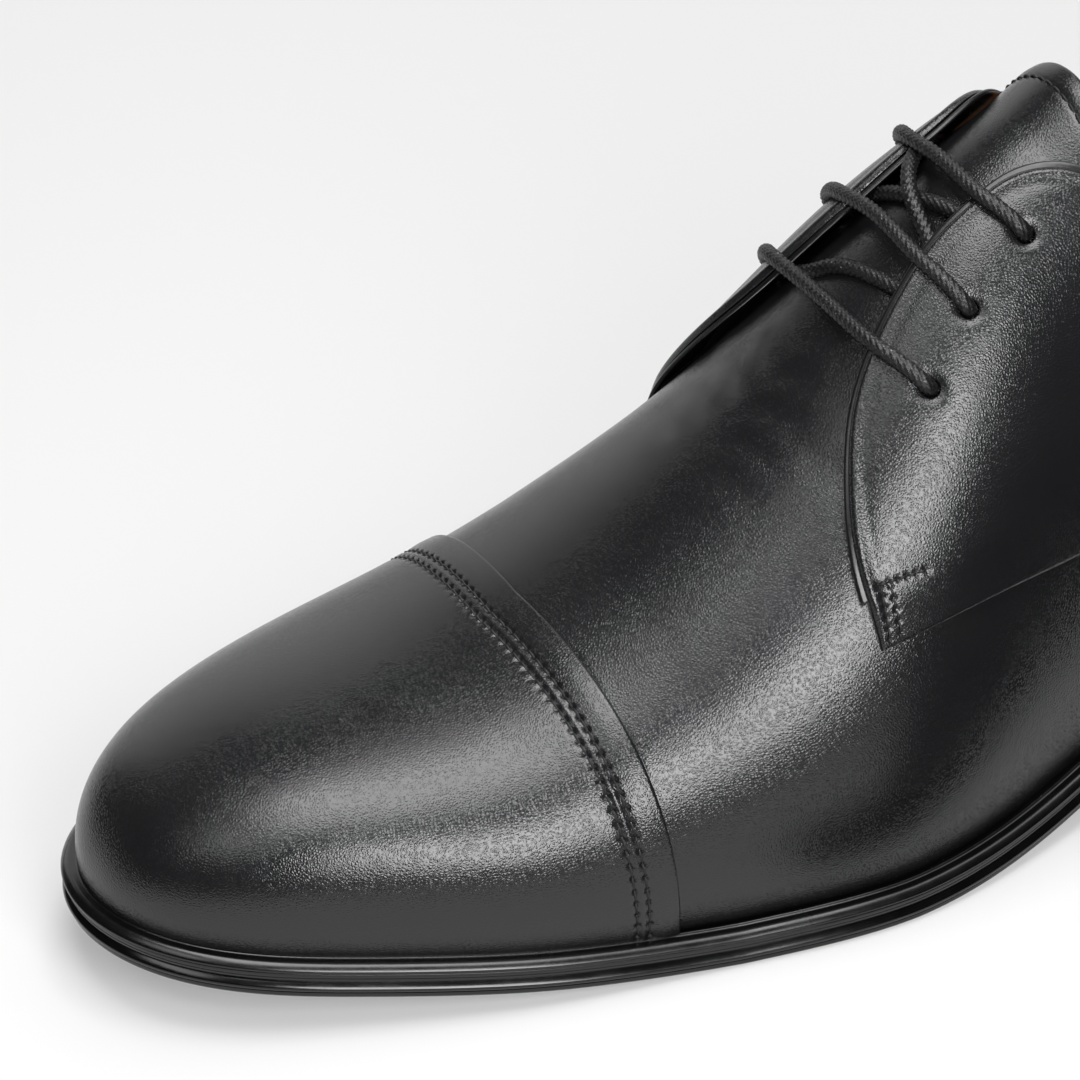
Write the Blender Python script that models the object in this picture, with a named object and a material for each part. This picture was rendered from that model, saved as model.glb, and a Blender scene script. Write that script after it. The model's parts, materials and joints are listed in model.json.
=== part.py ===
"""A black cap-toe derby shoe for the left foot, modelled piece by piece at real size.

The toe points along -Y, the outer side of the foot along +X, and the floor is z = 0.
Every piece is worked out from one last: half sections from the feather line, where
the upper meets the welt, up to the ridge, lofted from the back of the heel to the toe.
"""

from math import cos, pi, radians, sin

import bmesh
import bpy
import numpy as np
from mathutils import Vector

# Last
LAST_LENGTH = 0.2920
BALL_WIDTH = 0.0885
HEEL_WIDTH = 0.0605
INSTEP_HEIGHT = 0.0885
TOE_HEIGHT = 0.0291
HEEL_HEIGHT = 0.0251
TOE_SPRING = 0.0092

# Bottom
OUTSOLE_THICKNESS = 0.0036
WELT_THICKNESS = 0.0022
WELT_REACH = 0.0036
INSOLE_THICKNESS = 0.0030
INSOLE_CLEARANCE = 0.0008
TOP_PIECE_THICKNESS = 0.0060
HEEL_INSET = 0.0011
HEEL_TAPER = 0.0015
HEEL_LENGTH = 0.0780
SEAT_GAP = 0.0003

# Side profiles, as (depth of the thickness in from the edge, share of the way up)
OUTSOLE_SIDE = (
    (0.12, 0.00), (0.00, 0.12), (0.00, 0.40), (0.20, 0.50), (0.06, 0.60), (0.06, 0.94),
    (0.20, 1.00),
)
INSOLE_SIDE = ((0.0, 0.0), (0.0, 0.6), (0.4, 1.0))

# Upper
UPPER_WALL = 0.0020
CAP_STEP = 0.0010
QUARTER_STEP = 0.0016
FLAP_THICKNESS = 0.0019
FLAP_STAND = 0.0022
FLAP_STAND_TOP = 0.0012
QUARTER_SINK = 0.0010
TONGUE_THICKNESS = 0.0022
TONGUE_GAP = 0.0010
EYELET_DIAMETER = 0.0036
LACE_DIAMETER = 0.0024
LACE_CLEARANCE = 0.0004

# Half sections along the last, as shares: lateral and medial half widths, shoulder and
# swing of the local width, ridge of the local height, lift of the heel height, spring
# of the toe spring and reach of the welt's reach. The local width goes from the heel
# width to the ball width with ball, the local height from instep to toe with toe.
SECTION_COLUMNS = (
    "station", "ball", "lateral", "medial", "swing", "toe", "ridge", "shoulder",
    "bulge", "lift", "spring", "reach",
)
SECTIONS = (
    (0.000, 0.0, 0.512, 0.488, 0.000, 0.0, 1.130, 0.200, 0.220, 1.000, 0.00, 0.80),
    (0.125, 0.0, 0.512, 0.488, 0.000, 0.0, 1.175, 0.215, 0.180, 0.930, 0.00, 0.75),
    (0.250, 0.0, 0.515, 0.475, 0.000, 0.0, 1.220, 0.232, 0.140, 0.720, 0.00, 0.75),
    (0.380, 0.4, 0.440, 0.391, 0.000, 0.0, 1.114, 0.210, 0.132, 0.422, 0.00, 0.90),
    (0.500, 1.0, 0.452, 0.366, 0.006, 0.0, 1.000, 0.223, 0.132, 0.096, 0.00, 1.00),
    (0.600, 1.0, 0.524, 0.431, 0.002, 0.4, 1.018, 0.249, 0.132, 0.000, 0.00, 1.00),
    (0.700, 1.0, 0.502, 0.473, -0.017, 0.7, 0.987, 0.284, 0.132, 0.000, 0.00, 1.00),
    (0.800, 1.0, 0.455, 0.470, -0.035, 1.0, 1.096, 0.288, 0.132, 0.000, 0.27, 1.00),
    (0.900, 1.0, 0.384, 0.408, -0.038, 1.0, 1.000, 0.275, 0.132, 0.000, 0.63, 1.00),
    (1.000, 1.0, 0.391, 0.383, -0.050, 1.0, 1.000, 0.279, 0.132, 0.000, 1.00, 1.00),
)
LOWER_HANDLE = 0.700
HEEL_CENTRE = 0.125
TOE_START = 0.779
TOE_PLAN_POWER = 2.508
TOE_SIDE_POWER = 2.332

# Seams on the last, as (share of the length, share of the way up the section)
QUARTER_TOP = (
    (0.000, 0.360), (0.060, 0.345), (0.125, 0.312), (0.190, 0.285), (0.250, 0.285),
    (0.315, 0.350), (0.370, 0.470), (0.408, 0.630), (0.430, 0.745), (0.446, 0.800),
    (0.460, 0.828), (0.478, 0.840), (0.504, 0.842), (0.529, 0.818), (0.553, 0.778),
    (0.570, 0.732), (0.585, 0.659), (0.596, 0.580), (0.602, 0.500), (0.603, 0.430),
)
QUARTER_BOTTOM = (
    (0.000, 0.014), (0.100, 0.014), (0.200, 0.014), (0.240, 0.030), (0.280, 0.070),
    (0.340, 0.130), (0.400, 0.182), (0.476, 0.235), (0.538, 0.298), (0.603, 0.367),
)
CAP_LINE = 0.7305
CAP_LEAN = 0.0120
CAP_LEAN_SPREAD = 0.10
THROAT_FRONT = 0.527
THROAT_EDGE = 0.560
FLAP_FREE_FROM = 0.470
FLAP_FREE_TO = 0.540
FLAP_FREE_STATION = (0.350, 0.395)
FLAP_RISE = (0.450, 0.550)
COLLAR_FRONT = 0.440
TONGUE_EDGE = 0.600
TONGUE_RIM = 0.400
TONGUE_ROUNDING = 0.045
TONGUE_RIM_EDGE = 0.760

# Three eyelets on each side, as (share of the length, half of the distance between the
# pair), the share being of the last's length and the distance of the ball width
EYELETS = ((0.5365, 0.290), (0.5050, 0.245), (0.4650, 0.210))

# Strands between the bars, from (bar, side) to (bar, side), counted from the toe
LACE_STRANDS = (((0, -1), (1, 1)), ((0, 1), (2, -1)), ((2, 1), (1, -1)))
STRAND_SPREAD = 0.32
LACE_POINTS = 13


def spline(xs, ys):
    """A natural cubic through the points, straight past its ends."""
    xs, ys = np.asarray(xs, float), np.asarray(ys, float)
    steps, count = np.diff(xs), len(xs)
    matrix, right = np.eye(count), np.zeros(count)
    for i in range(1, count - 1):
        matrix[i, i - 1:i + 2] = steps[i - 1], 2 * (steps[i - 1] + steps[i]), steps[i]
        slopes = (ys[i + 1] - ys[i]) / steps[i], (ys[i] - ys[i - 1]) / steps[i - 1]
        right[i] = 6 * (slopes[0] - slopes[1])
    bends = np.linalg.solve(matrix, right)

    def at(x):
        x = np.asarray(x, float)
        inside = np.clip(x, xs[0], xs[-1])
        i = np.clip(np.searchsorted(xs, inside, side="right") - 1, 0, count - 2)
        a, b = (xs[i + 1] - inside) / steps[i], (inside - xs[i]) / steps[i]
        curve = ((a ** 3 - a) * bends[i] + (b ** 3 - b) * bends[i + 1]) * steps[i] ** 2 / 6
        ends = (ys[1] - ys[0]) / steps[0], (ys[-1] - ys[-2]) / steps[-1]
        past = np.where(x < xs[0], ends[0] * (x - xs[0]), ends[1] * (x - inside))
        return a * ys[i] + b * ys[i + 1] + curve + past

    return at


def last_curves():
    """The last's measures along its length, in metres, each as a curve of the station."""
    column = dict(zip(SECTION_COLUMNS, np.array(SECTIONS).T))
    width = HEEL_WIDTH + (BALL_WIDTH - HEEL_WIDTH) * column["ball"]
    height = INSTEP_HEIGHT + (TOE_HEIGHT - INSTEP_HEIGHT) * column["toe"]
    values = {
        "lateral": column["lateral"] * width,
        "medial": column["medial"] * width,
        "swing": column["swing"] * width,
        "shoulder": column["shoulder"] * width,
        "ridge": column["ridge"] * height,
        "bulge": column["bulge"],
        "lift": column["lift"] * HEEL_HEIGHT + column["spring"] * TOE_SPRING,
        "reach": column["reach"] * WELT_REACH,
    }
    return {name: spline(column["station"], value) for name, value in values.items()}


LAST = last_curves()
FEATHER_LIFT = OUTSOLE_THICKNESS + WELT_THICKNESS + 2 * SEAT_GAP


def station_at(y):
    return 0.5 - y / LAST_LENGTH


def ground(y):
    """Height of the outsole's bottom over the floor."""
    return np.maximum(0.0, LAST["lift"](station_at(y)))


def last_surface(side, station, share):
    """Points on the last: side 1 is lateral and -1 medial, share runs from the feather
    line at 0 to the ridge at 1, and the heel's sections fan round its centre."""
    station, share = np.broadcast_arrays(np.asarray(station, float), share)
    fan = np.maximum(0.0, 1 - station / HEEL_CENTRE) * pi / 2
    along = np.where(station < HEEL_CENTRE, HEEL_CENTRE * (1 - np.sin(fan)), station)
    axis = np.maximum(along, HEEL_CENTRE)
    closing = np.clip((along - TOE_START) / (1 - TOE_START), 0, 1)
    narrowing = np.sqrt(1 - closing ** TOE_PLAN_POWER)
    lowering = np.sqrt(1 - closing ** TOE_SIDE_POWER)
    half = np.where(side > 0, LAST["lateral"](axis), LAST["medial"](axis))
    out_x = side * half * narrowing * np.cos(fan)
    out_y = HEEL_CENTRE * LAST_LENGTH * np.sin(fan)
    up = 1 - share
    even = (LAST["lateral"](axis) + LAST["medial"](axis)) / 2
    shoulder = LAST["shoulder"](along) / (half + (even - half) * np.sin(fan))
    out = up ** 3 + 3 * (1 + LAST["bulge"](along)) * up ** 2 * share + 3 * shoulder * up * share ** 2
    rise = 3 * LOWER_HANDLE * up ** 2 * share + 3 * up * share ** 2 + share ** 3
    x = LAST["swing"](axis) + out_x * out
    y = (0.5 - axis) * LAST_LENGTH + out_y * out
    feather = ground((0.5 - along) * LAST_LENGTH) + FEATHER_LIFT
    z = feather + LAST["ridge"](along) * lowering * rise
    return np.stack([x, y, z], -1)


def upper_point(side, station, share, offset=0.0):
    """Points off the last along its normal, which at the toe's tip points forward."""
    station, share = np.broadcast_arrays(np.asarray(station, float), share)
    step = np.clip((1 - station) / 4, 1e-9, 1e-4)
    along = last_surface(side, station + step, share) - last_surface(side, station - step, share)
    up = last_surface(side, station, share + 1e-4) - last_surface(side, station, share - 1e-4)
    normal = np.cross(up, along) * np.asarray(side)[..., None]
    length = np.linalg.norm(normal, axis=-1, keepdims=True)
    tip = station[..., None] > 1 - 1e-6
    normal = np.where(tip, (0.0, -1.0, 0.0), normal / np.maximum(length, 1e-20))
    return last_surface(side, station, share) + normal * np.asarray(offset)[..., None]


def smooth(low, high, value):
    share = np.clip((value - low) / (high - low), 0, 1)
    return share * share * (3 - 2 * share)


def outline(grow, count=22):
    """The feather line round the shoe from the heel's back, first on the lateral side,
    moved outwards in plan by grow of each station."""
    heel = np.linspace(0, HEEL_CENTRE, 8)[:-1]
    waist = np.linspace(HEEL_CENTRE, TOE_START, count)[:-1]
    toe = TOE_START + (1 - TOE_START) * np.sin(np.linspace(0, pi / 2, 13))
    stations = np.concatenate([heel, waist, toe])
    lateral = last_surface(1, stations, 0.0)
    medial = last_surface(-1, stations, 0.0)[-2:0:-1]
    line = np.concatenate([lateral, medial])[:, :2]
    shares = np.concatenate([stations, stations[-2:0:-1]])
    tangent = np.roll(line, -1, axis=0) - np.roll(line, 1, axis=0)
    normal = np.stack([-tangent[:, 1], tangent[:, 0]], -1)
    normal /= np.linalg.norm(normal, axis=1, keepdims=True)
    return line + normal * grow(shares)[:, None]


def welt_edge(extra):
    return outline(lambda station: LAST["reach"](station) + extra)


def middle_of_box():
    """Centre in plan of the box round the sole's edge and the heel's back: the origin."""
    line = welt_edge(0.0)
    back = upper_point(1, 0.0, np.linspace(0.0, 0.4, 81), QUARTER_STEP)[:, :2]
    low = line.min(axis=0)
    high = np.maximum(line.max(axis=0), back.max(axis=0))
    return (low + high) / 2


ORIGIN = middle_of_box()


def clear_scene():
    for obj in list(bpy.data.objects):
        bpy.data.objects.remove(obj, do_unlink=True)


def collection(name):
    made = bpy.data.collections.new(name)
    bpy.context.scene.collection.children.link(made)
    return made


def material(name, colour, roughness):
    made = bpy.data.materials.new(name)
    made.use_nodes = True
    shader = made.node_tree.nodes["Principled BSDF"]
    shader.inputs["Base Color"].default_value = (*colour, 1.0)
    shader.inputs["Roughness"].default_value = roughness
    shader.inputs["Metallic"].default_value = 0.0
    return made


def make_object(name, points, faces, group, look):
    """An object from points about the last's frame, its normals made to face out."""
    mesh = bpy.data.meshes.new(name)
    placed = np.asarray(points, float) - (*ORIGIN, 0.0)
    mesh.from_pydata([tuple(p) for p in placed], [], [tuple(f) for f in faces])
    shape = bmesh.new()
    shape.from_mesh(mesh)
    bmesh.ops.recalc_face_normals(shape, faces=shape.faces)
    shape.to_mesh(mesh)
    shape.free()
    mesh.materials.append(look)
    mesh.shade_smooth()
    mesh.set_sharp_from_angle(angle=radians(35))
    obj = bpy.data.objects.new(name, mesh)
    group.objects.link(obj)
    return obj


def make_guide(obj):
    obj.hide_render = True
    obj.display_type = "WIRE"


def grid_faces(rows, columns, missing=None):
    """Faces of a grid of rows by columns, leaving out those whose cell is missing."""
    faces = []
    for i in range(rows - 1):
        for j in range(columns - 1):
            if missing is None or not missing[i, j]:
                a = i * columns + j
                faces.append((a, a + 1, a + columns + 1, a + columns))
    return faces


def shell(outer, inner, faces):
    """A closed wall from an open surface and its inner side: coinciding outer points
    are made one, and each open edge is bridged between the two sides."""
    outer, inner = outer.reshape(-1, 3), inner.reshape(-1, 3)
    _, first, index = np.unique(
        np.round(outer, 7) + 0.0, axis=0, return_index=True, return_inverse=True)
    index = index.reshape(-1)
    kept = []
    for face in faces:
        corners = [int(index[corner]) for corner in face]
        corners = [c for k, c in enumerate(corners) if c != corners[k - 1]]
        if len(set(corners)) > 2:
            kept.append(corners)
    uses = {}
    for face in kept:
        for k, corner in enumerate(face):
            edge = (corner, face[(k + 1) % len(face)])
            uses.setdefault(frozenset(edge), []).append(edge)
    used = sorted({corner for face in kept for corner in face})
    number = {corner: k for k, corner in enumerate(used)}
    solid = [tuple(number[c] for c in face) for face in kept]
    solid += [tuple(number[c] + len(used) for c in reversed(face)) for face in kept]
    for ends in uses.values():
        if len(ends) == 1:
            a, b = (number[c] for c in ends[0])
            solid.append((b, a, a + len(used), b + len(used)))
    points = np.concatenate([outer[first][used], inner[first][used]])
    return points, solid


def lean(station, share):
    """Moves the stations near the toe cap's seam so that a grid line follows it."""
    near = np.clip(1 - np.abs(station - CAP_LINE) / CAP_LEAN_SPREAD, 0, 1)
    return station + CAP_LEAN * share * near


def both_sides(stations):
    """Columns from the heel along the lateral side to the toe and back on the medial."""
    columns = np.concatenate([stations, stations[::-1]])
    sides = np.concatenate([np.ones(len(stations)), -np.ones(len(stations))])
    return columns, sides


def vamp_shell():
    """The wall that lies on the last: open below, at the collar and at the throat."""
    heel = np.linspace(0, HEEL_CENTRE, 6)[:-1]
    back = np.linspace(HEEL_CENTRE, THROAT_FRONT, 12)
    vamp = np.linspace(THROAT_FRONT, CAP_LINE, 8)[1:-1]
    edge = (CAP_LINE, CAP_LINE + CAP_STEP / LAST_LENGTH / 3)
    cap = TOE_START + (1 - TOE_START) * np.sin(np.linspace(0, pi / 2, 10))
    stations = np.concatenate([heel, back, vamp, edge, [0.755], cap])
    columns, sides = both_sides(stations)
    low = np.linspace(0, 1, 7)[:, None]
    high = np.linspace(THROAT_EDGE, 1, 6)[1:, None]
    top = np.minimum(THROAT_EDGE, collar_share(columns) - QUARTER_SINK / INSTEP_HEIGHT)
    lower = low * np.where(columns < THROAT_FRONT - 1e-6, top, THROAT_EDGE)
    shares = np.concatenate([lower, high * np.ones(len(columns))])
    grid = lean(columns[None, :] * np.ones_like(shares), shares)
    side = sides[None, :] * np.ones_like(shares)
    cap_line = CAP_LINE + CAP_LEAN * shares
    offset = np.where(grid > cap_line + 1e-5, CAP_STEP, 0.0)
    outer = upper_point(side, grid, shares, offset)
    inner = upper_point(side, grid, shares, -UPPER_WALL)
    inner[0, :, 2] = outer[0, :, 2]
    open_top = np.zeros((len(shares) - 1, len(columns) - 1), bool)
    ends = np.minimum(columns[:-1], columns[1:])
    open_top[len(low) - 1:, :] = ends < THROAT_FRONT - 1e-6
    open_top[:, len(stations) - 1] = True
    return shell(outer, inner, grid_faces(len(shares), len(columns), open_top))


def edge_curve():
    """The quarter's upper and front edge at even steps along it, from the heel."""
    line = np.array(QUARTER_TOP)
    scale = np.array([LAST_LENGTH, INSTEP_HEIGHT])
    run = np.concatenate([[0], np.cumsum(np.linalg.norm(np.diff(line, axis=0) * scale, axis=1))])
    at = [spline(run, line[:, k]) for k in (0, 1)]
    return at, run[-1]


def collar_share(station):
    """How far up the section the collar is, back from the facing's top."""
    at, length = edge_curve()
    run = np.linspace(0, length, 400)
    line = np.stack([at[0](run), at[1](run)], -1)
    climbing = line[:, 0] < COLLAR_FRONT
    collar = np.interp(station, line[climbing, 0], line[climbing, 1])
    return np.where(station < COLLAR_FRONT, collar, 1.0)


def freeness(station, share):
    """How far the quarter has left the vamp: 0 where it is sewn down, 1 on its flap."""
    return smooth(*FLAP_FREE_STATION, station) * smooth(FLAP_FREE_FROM, FLAP_FREE_TO, share)


def flap_top(station, share):
    """Height of the quarter's face over the last: its flap stands off most in front."""
    stand = FLAP_STAND_TOP + (FLAP_STAND - FLAP_STAND_TOP) * smooth(*FLAP_RISE, station)
    return QUARTER_STEP + stand * freeness(station, share)


def quarter_shell():
    """The two quarters, one wall round the heel, sewn on the vamp and loose as flaps."""
    at, length = edge_curve()
    run = np.linspace(0, length, 34)
    stations, top = at[0](run), at[1](run)
    bottom = spline(*np.array(QUARTER_BOTTOM).T)(stations)
    columns, sides = both_sides(stations[::-1])
    tops, bottoms = (np.concatenate([line[::-1], line]) for line in (top, bottom))
    up = np.linspace(0, 1, 8)[:, None]
    shares = bottoms + (tops - bottoms) * up
    grid = columns[None, :] * np.ones_like(shares)
    side = sides[None, :] * np.ones_like(shares)
    free = freeness(grid, shares)
    face = flap_top(grid, shares)
    back = -QUARTER_SINK + (face - FLAP_THICKNESS + QUARTER_SINK) * free
    outer = upper_point(side, grid, shares, face)
    inner = upper_point(side, grid, shares, back)
    return shell(outer, inner, grid_faces(len(shares), len(columns)))


def eyelet_places():
    """Where each eyelet goes through: its side, station and share up the section."""
    places = []
    shares = np.linspace(THROAT_EDGE, 1, 200)
    for station, spread in EYELETS:
        for side in (1, -1):
            points = upper_point(side, station, shares, flap_top(station, shares))
            wanted = side * spread * BALL_WIDTH + float(LAST["swing"](station))
            share = float(np.interp(side * wanted, (side * points[:, 0])[::-1], shares[::-1]))
            places.append((side, station, share))
    return places


def face_point(side, station, share, offset):
    """A point over the quarter's face, by offset from that face."""
    return Vector(upper_point(side, station, share, flap_top(station, share) + offset))


def eyelet_cutter(group, look):
    """Six pins through the flaps, one for each eyelet."""
    shape = bmesh.new()
    for place in eyelet_places():
        low = face_point(*place, -2 * FLAP_THICKNESS)
        high = face_point(*place, FLAP_THICKNESS)
        made = bmesh.ops.create_cone(
            shape, cap_ends=True, segments=12, radius1=EYELET_DIAMETER / 2,
            radius2=EYELET_DIAMETER / 2, depth=(high - low).length)
        turn = (high - low).to_track_quat("Z", "Y").to_matrix()
        bmesh.ops.rotate(shape, verts=made["verts"], matrix=turn)
        middle = (high + low) / 2 - Vector((*ORIGIN, 0.0))
        bmesh.ops.translate(shape, verts=made["verts"], vec=middle)
    mesh = bpy.data.meshes.new("eyelet_pins")
    shape.to_mesh(mesh)
    shape.free()
    mesh.materials.append(look)
    pins = bpy.data.objects.new("eyelet_pins", mesh)
    group.objects.link(pins)
    make_guide(pins)
    return pins


def add_boolean(obj, operation, other):
    cut = obj.modifiers.new(operation.lower(), "BOOLEAN")
    cut.operation = operation
    cut.object = other
    cut.solver = "EXACT"


def make_upper(parts, guides, look):
    upper = make_object("upper", *vamp_shell(), parts, look)
    quarters = make_object("quarters", *quarter_shell(), guides, look)
    make_guide(quarters)
    add_boolean(upper, "UNION", quarters)
    add_boolean(upper, "DIFFERENCE", eyelet_cutter(guides, look))
    return upper


def make_tongue(parts, look):
    """The tongue goes on from the vamp under the flaps, up to its rounded rim."""
    front = THROAT_FRONT - TONGUE_GAP / LAST_LENGTH
    run = np.linspace(0, 1, 13)
    stations = front + (TONGUE_RIM - front) * np.sin(run * pi / 2)
    to_rim = np.clip((TONGUE_RIM + TONGUE_ROUNDING - stations) / TONGUE_ROUNDING, 0, 1)
    edge = TONGUE_EDGE + (TONGUE_RIM_EDGE - TONGUE_EDGE) * (1 - np.sqrt(1 - to_rim ** 2))
    across = np.linspace(-1, 1, 11)[:, None]
    shares = 1 - (1 - edge) * np.abs(across)
    side = np.where(across < 0, -1.0, 1.0) * np.ones_like(shares)
    grid = stations[None, :] * np.ones_like(shares)
    outer = upper_point(side, grid, shares, 0.0)
    inner = upper_point(side, grid, shares, -TONGUE_THICKNESS)
    points, faces = shell(outer, inner, grid_faces(*shares.shape))
    return make_object("tongue", points, faces, parts, look)


def ladder(count, start):
    """Faces across a closed outline, from each lateral point to its medial one. An even
    count ends in the toe's tip, an odd one in the heel's breast."""
    half = (count - 1) // 2
    faces = [(start, start + 1, start + count - 1)]
    for i in range(1, half):
        faces.append((start + i, start + i + 1, start + count - i - 1, start + count - i))
    if count % 2 == 0:
        faces.append((start + half, start + half + 1, start + half + 2))
    return faces


def loft(rings):
    """A solid through outlines of equal count, laid one over another."""
    count = len(rings[0])
    faces = []
    for start in range(0, (len(rings) - 1) * count, count):
        for i in range(count):
            j = (i + 1) % count
            faces.append((start + i, start + j, start + count + j, start + count + i))
    last = (len(rings) - 1) * count
    return np.concatenate(rings), faces + ladder(count, 0) + ladder(count, last)


def plate(profile, edge, bottom, top):
    """A solid between two heights, each a function of y. Each row of the profile is its
    reach past the edge's outline and how far it is up from the bottom to the top."""
    rings = []
    for reach, up in profile:
        line = edge(reach)
        low, high = bottom(line[:, 1]), top(line[:, 1])
        rings.append(np.column_stack([line, low + (high - low) * up]))
    return loft(rings)


def bead(height, steps=4):
    """Profile rows of a rounded edge of the given thickness."""
    angles = [pi * (k / steps - 0.5) for k in range(steps + 1)]
    return [(height / 2 * (cos(angle) - 1), 0.5 + 0.5 * sin(angle)) for angle in angles]


def outsole_top(y):
    return ground(y) + OUTSOLE_THICKNESS


def welt_bottom(y):
    return outsole_top(y) + SEAT_GAP


def welt_top(y):
    return welt_bottom(y) + WELT_THICKNESS


def insole_bottom(y):
    return welt_top(y) + SEAT_GAP


def make_outsole(parts, look):
    """Its side has a flat upper band, a groove and a rounded bead below."""
    profile = [(-depth * OUTSOLE_THICKNESS, up) for depth, up in OUTSOLE_SIDE]
    return make_object("outsole", *plate(profile, welt_edge, ground, outsole_top), parts, look)


def make_welt(parts, look):
    shape = plate(bead(WELT_THICKNESS), welt_edge, welt_bottom, welt_top)
    return make_object("welt", *shape, parts, look)


def make_insole(parts, look):
    """The sock lies inside the wall and stops short of the toe's low tip."""
    inset = UPPER_WALL + INSOLE_CLEARANCE

    def edge(extra):
        return outline(lambda station: extra - inset - inset * smooth(0.9, 1.0, station))

    def top(y):
        return insole_bottom(y) + INSOLE_THICKNESS

    profile = [(-depth * INSOLE_THICKNESS, up) for depth, up in INSOLE_SIDE]
    return make_object("insole", *plate(profile, edge, insole_bottom, top), parts, look)


def heel_ring(inset, height):
    """The heel's outline at one height: the sole's back part closed by its breast."""
    line = welt_edge(-inset)
    breast = 0.5 * LAST_LENGTH - HEEL_LENGTH
    behind = [k for k in range(len(line) // 2 + 1) if line[k, 1] > breast]
    last = behind[-1]
    share = (line[last, 1] - breast) / (line[last, 1] - line[last + 1, 1])
    corner = line[last] + (line[last + 1] - line[last]) * share
    other = line[-last] + (line[-last - 1] - line[-last]) * share
    other[1] = corner[1]
    ring = np.concatenate([line[:last + 1], [corner], [other], line[-last:]])
    return np.column_stack([ring, height(ring[:, 1])])


def make_heel(parts, block_look, rubber_look):
    """A leather-covered block under the outsole, and the rubber top piece it stands on."""
    taper = HEEL_TAPER * TOP_PIECE_THICKNESS / HEEL_HEIGHT

    def level(height):
        return lambda y: np.full_like(y, height)

    block = loft([
        heel_ring(HEEL_INSET + HEEL_TAPER - taper, level(TOP_PIECE_THICKNESS + SEAT_GAP)),
        heel_ring(HEEL_INSET, lambda y: ground(y) - SEAT_GAP)])
    make_object("heel", *block, parts, block_look)
    piece = loft([
        heel_ring(HEEL_INSET + HEEL_TAPER, level(0.0)),
        heel_ring(HEEL_INSET + HEEL_TAPER - taper, level(TOP_PIECE_THICKNESS))])
    make_object("heel_top_piece", *piece, parts, rubber_look)


def tube(name, points, group, look):
    """A lace strand as a tube on a smooth run of points, made a mesh."""
    route = np.array([tuple(point) for point in points]) - (*ORIGIN, 0.0)
    curve = bpy.data.curves.new(name, "CURVE")
    curve.dimensions = "3D"
    curve.bevel_depth = LACE_DIAMETER / 2
    curve.bevel_resolution = 2
    curve.use_fill_caps = True
    line = curve.splines.new("POLY")
    line.points.add(len(route) - 1)
    for spot, place in zip(line.points, route):
        spot.co = (*place, 1.0)
    bent = bpy.data.objects.new(name + "_curve", curve)
    group.objects.link(bent)
    bpy.context.view_layer.update()
    mesh = bpy.data.meshes.new_from_object(bent.evaluated_get(bpy.context.evaluated_depsgraph_get()))
    bpy.data.objects.remove(bent, do_unlink=True)
    shape = bmesh.new()
    shape.from_mesh(mesh)
    bmesh.ops.remove_doubles(shape, verts=shape.verts, dist=1e-6)
    bmesh.ops.recalc_face_normals(shape, faces=shape.faces)
    shape.to_mesh(mesh)
    shape.free()
    mesh.name = name
    mesh.materials.clear()
    mesh.materials.append(look)
    mesh.shade_smooth()
    obj = bpy.data.objects.new(name, mesh)
    group.objects.link(obj)
    return obj


def smooth_route(points, count):
    points = np.array([tuple(point) for point in points])
    run = np.concatenate([[0], np.cumsum(np.linalg.norm(np.diff(points, axis=0), axis=1))])
    at = [spline(run, points[:, k]) for k in range(3)]
    steps = np.linspace(0, run[-1], count)
    return np.stack([curve(steps) for curve in at], -1)


def lace_bar(number):
    """A bar from the lateral eyelet over both flaps to the medial one, ending over them."""
    lift = LACE_DIAMETER / 2 + LACE_CLEARANCE
    lateral, medial = eyelet_places()[2 * number:2 * number + 2]
    inner = [face_point(side, station, (1 + share) / 2, lift)
             for side, station, share in (lateral, medial)]
    ends = [face_point(*place, lift) for place in (lateral, medial)]
    return smooth_route([ends[0], inner[0], inner[1], ends[1]], LACE_POINTS)


def under_bar(number, side):
    """A point in the lower half of a bar, between the flaps and towards one side."""
    bar = lace_bar(number)[::-1]
    share = 0.5 + 0.5 * STRAND_SPREAD * side
    x = bar[0, 0] + (bar[-1, 0] - bar[0, 0]) * share
    spot = [np.interp(x, bar[:, 0], bar[:, k]) for k in range(3)]
    return Vector(spot) - Vector((0, 0, LACE_DIAMETER * 0.45))


def lace_strand(start, end):
    """A strand between the flaps from under one bar to under another, sagging a little."""
    low, high = under_bar(*start), under_bar(*end)
    middle = (low + high) / 2 - Vector((0, 0, LACE_DIAMETER * 0.3))
    return smooth_route([low, middle, high], LACE_POINTS // 2)


def make_laces(parts, guides, look):
    """Three straight bars joined by the strands that cross between the flaps."""
    laces = tube("laces", lace_bar(0), parts, look)
    others = [tube("bar_%d" % (k + 1), lace_bar(k), guides, look) for k in (1, 2)]
    for number, ends in enumerate(LACE_STRANDS):
        others.append(tube("strand_%d" % number, lace_strand(*ends), guides, look))
    for other in others:
        make_guide(other)
        add_boolean(laces, "UNION", other)
    return laces


def main():
    clear_scene()
    parts = collection("derby_shoe")
    guides = collection("guides")
    leather = material("black_calf_leather", (0.012, 0.012, 0.013), 0.38)
    rubber = material("black_polished_rubber", (0.010, 0.010, 0.011), 0.28)
    heel_cover = material("black_heel_cover", (0.011, 0.011, 0.012), 0.30)
    lining = material("tan_lining_leather", (0.42, 0.22, 0.09), 0.55)
    cord = material("black_waxed_cord", (0.011, 0.011, 0.012), 0.50)
    make_outsole(parts, rubber)
    make_welt(parts, heel_cover)
    make_heel(parts, heel_cover, rubber)
    make_insole(parts, lining)
    make_upper(parts, guides, leather)
    make_tongue(parts, leather)
    make_laces(parts, guides, cord)


main()
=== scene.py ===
import json
import math

import bmesh
import bpy
import numpy as np
from mathutils import Matrix, Vector
from mathutils.kdtree import KDTree

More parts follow.
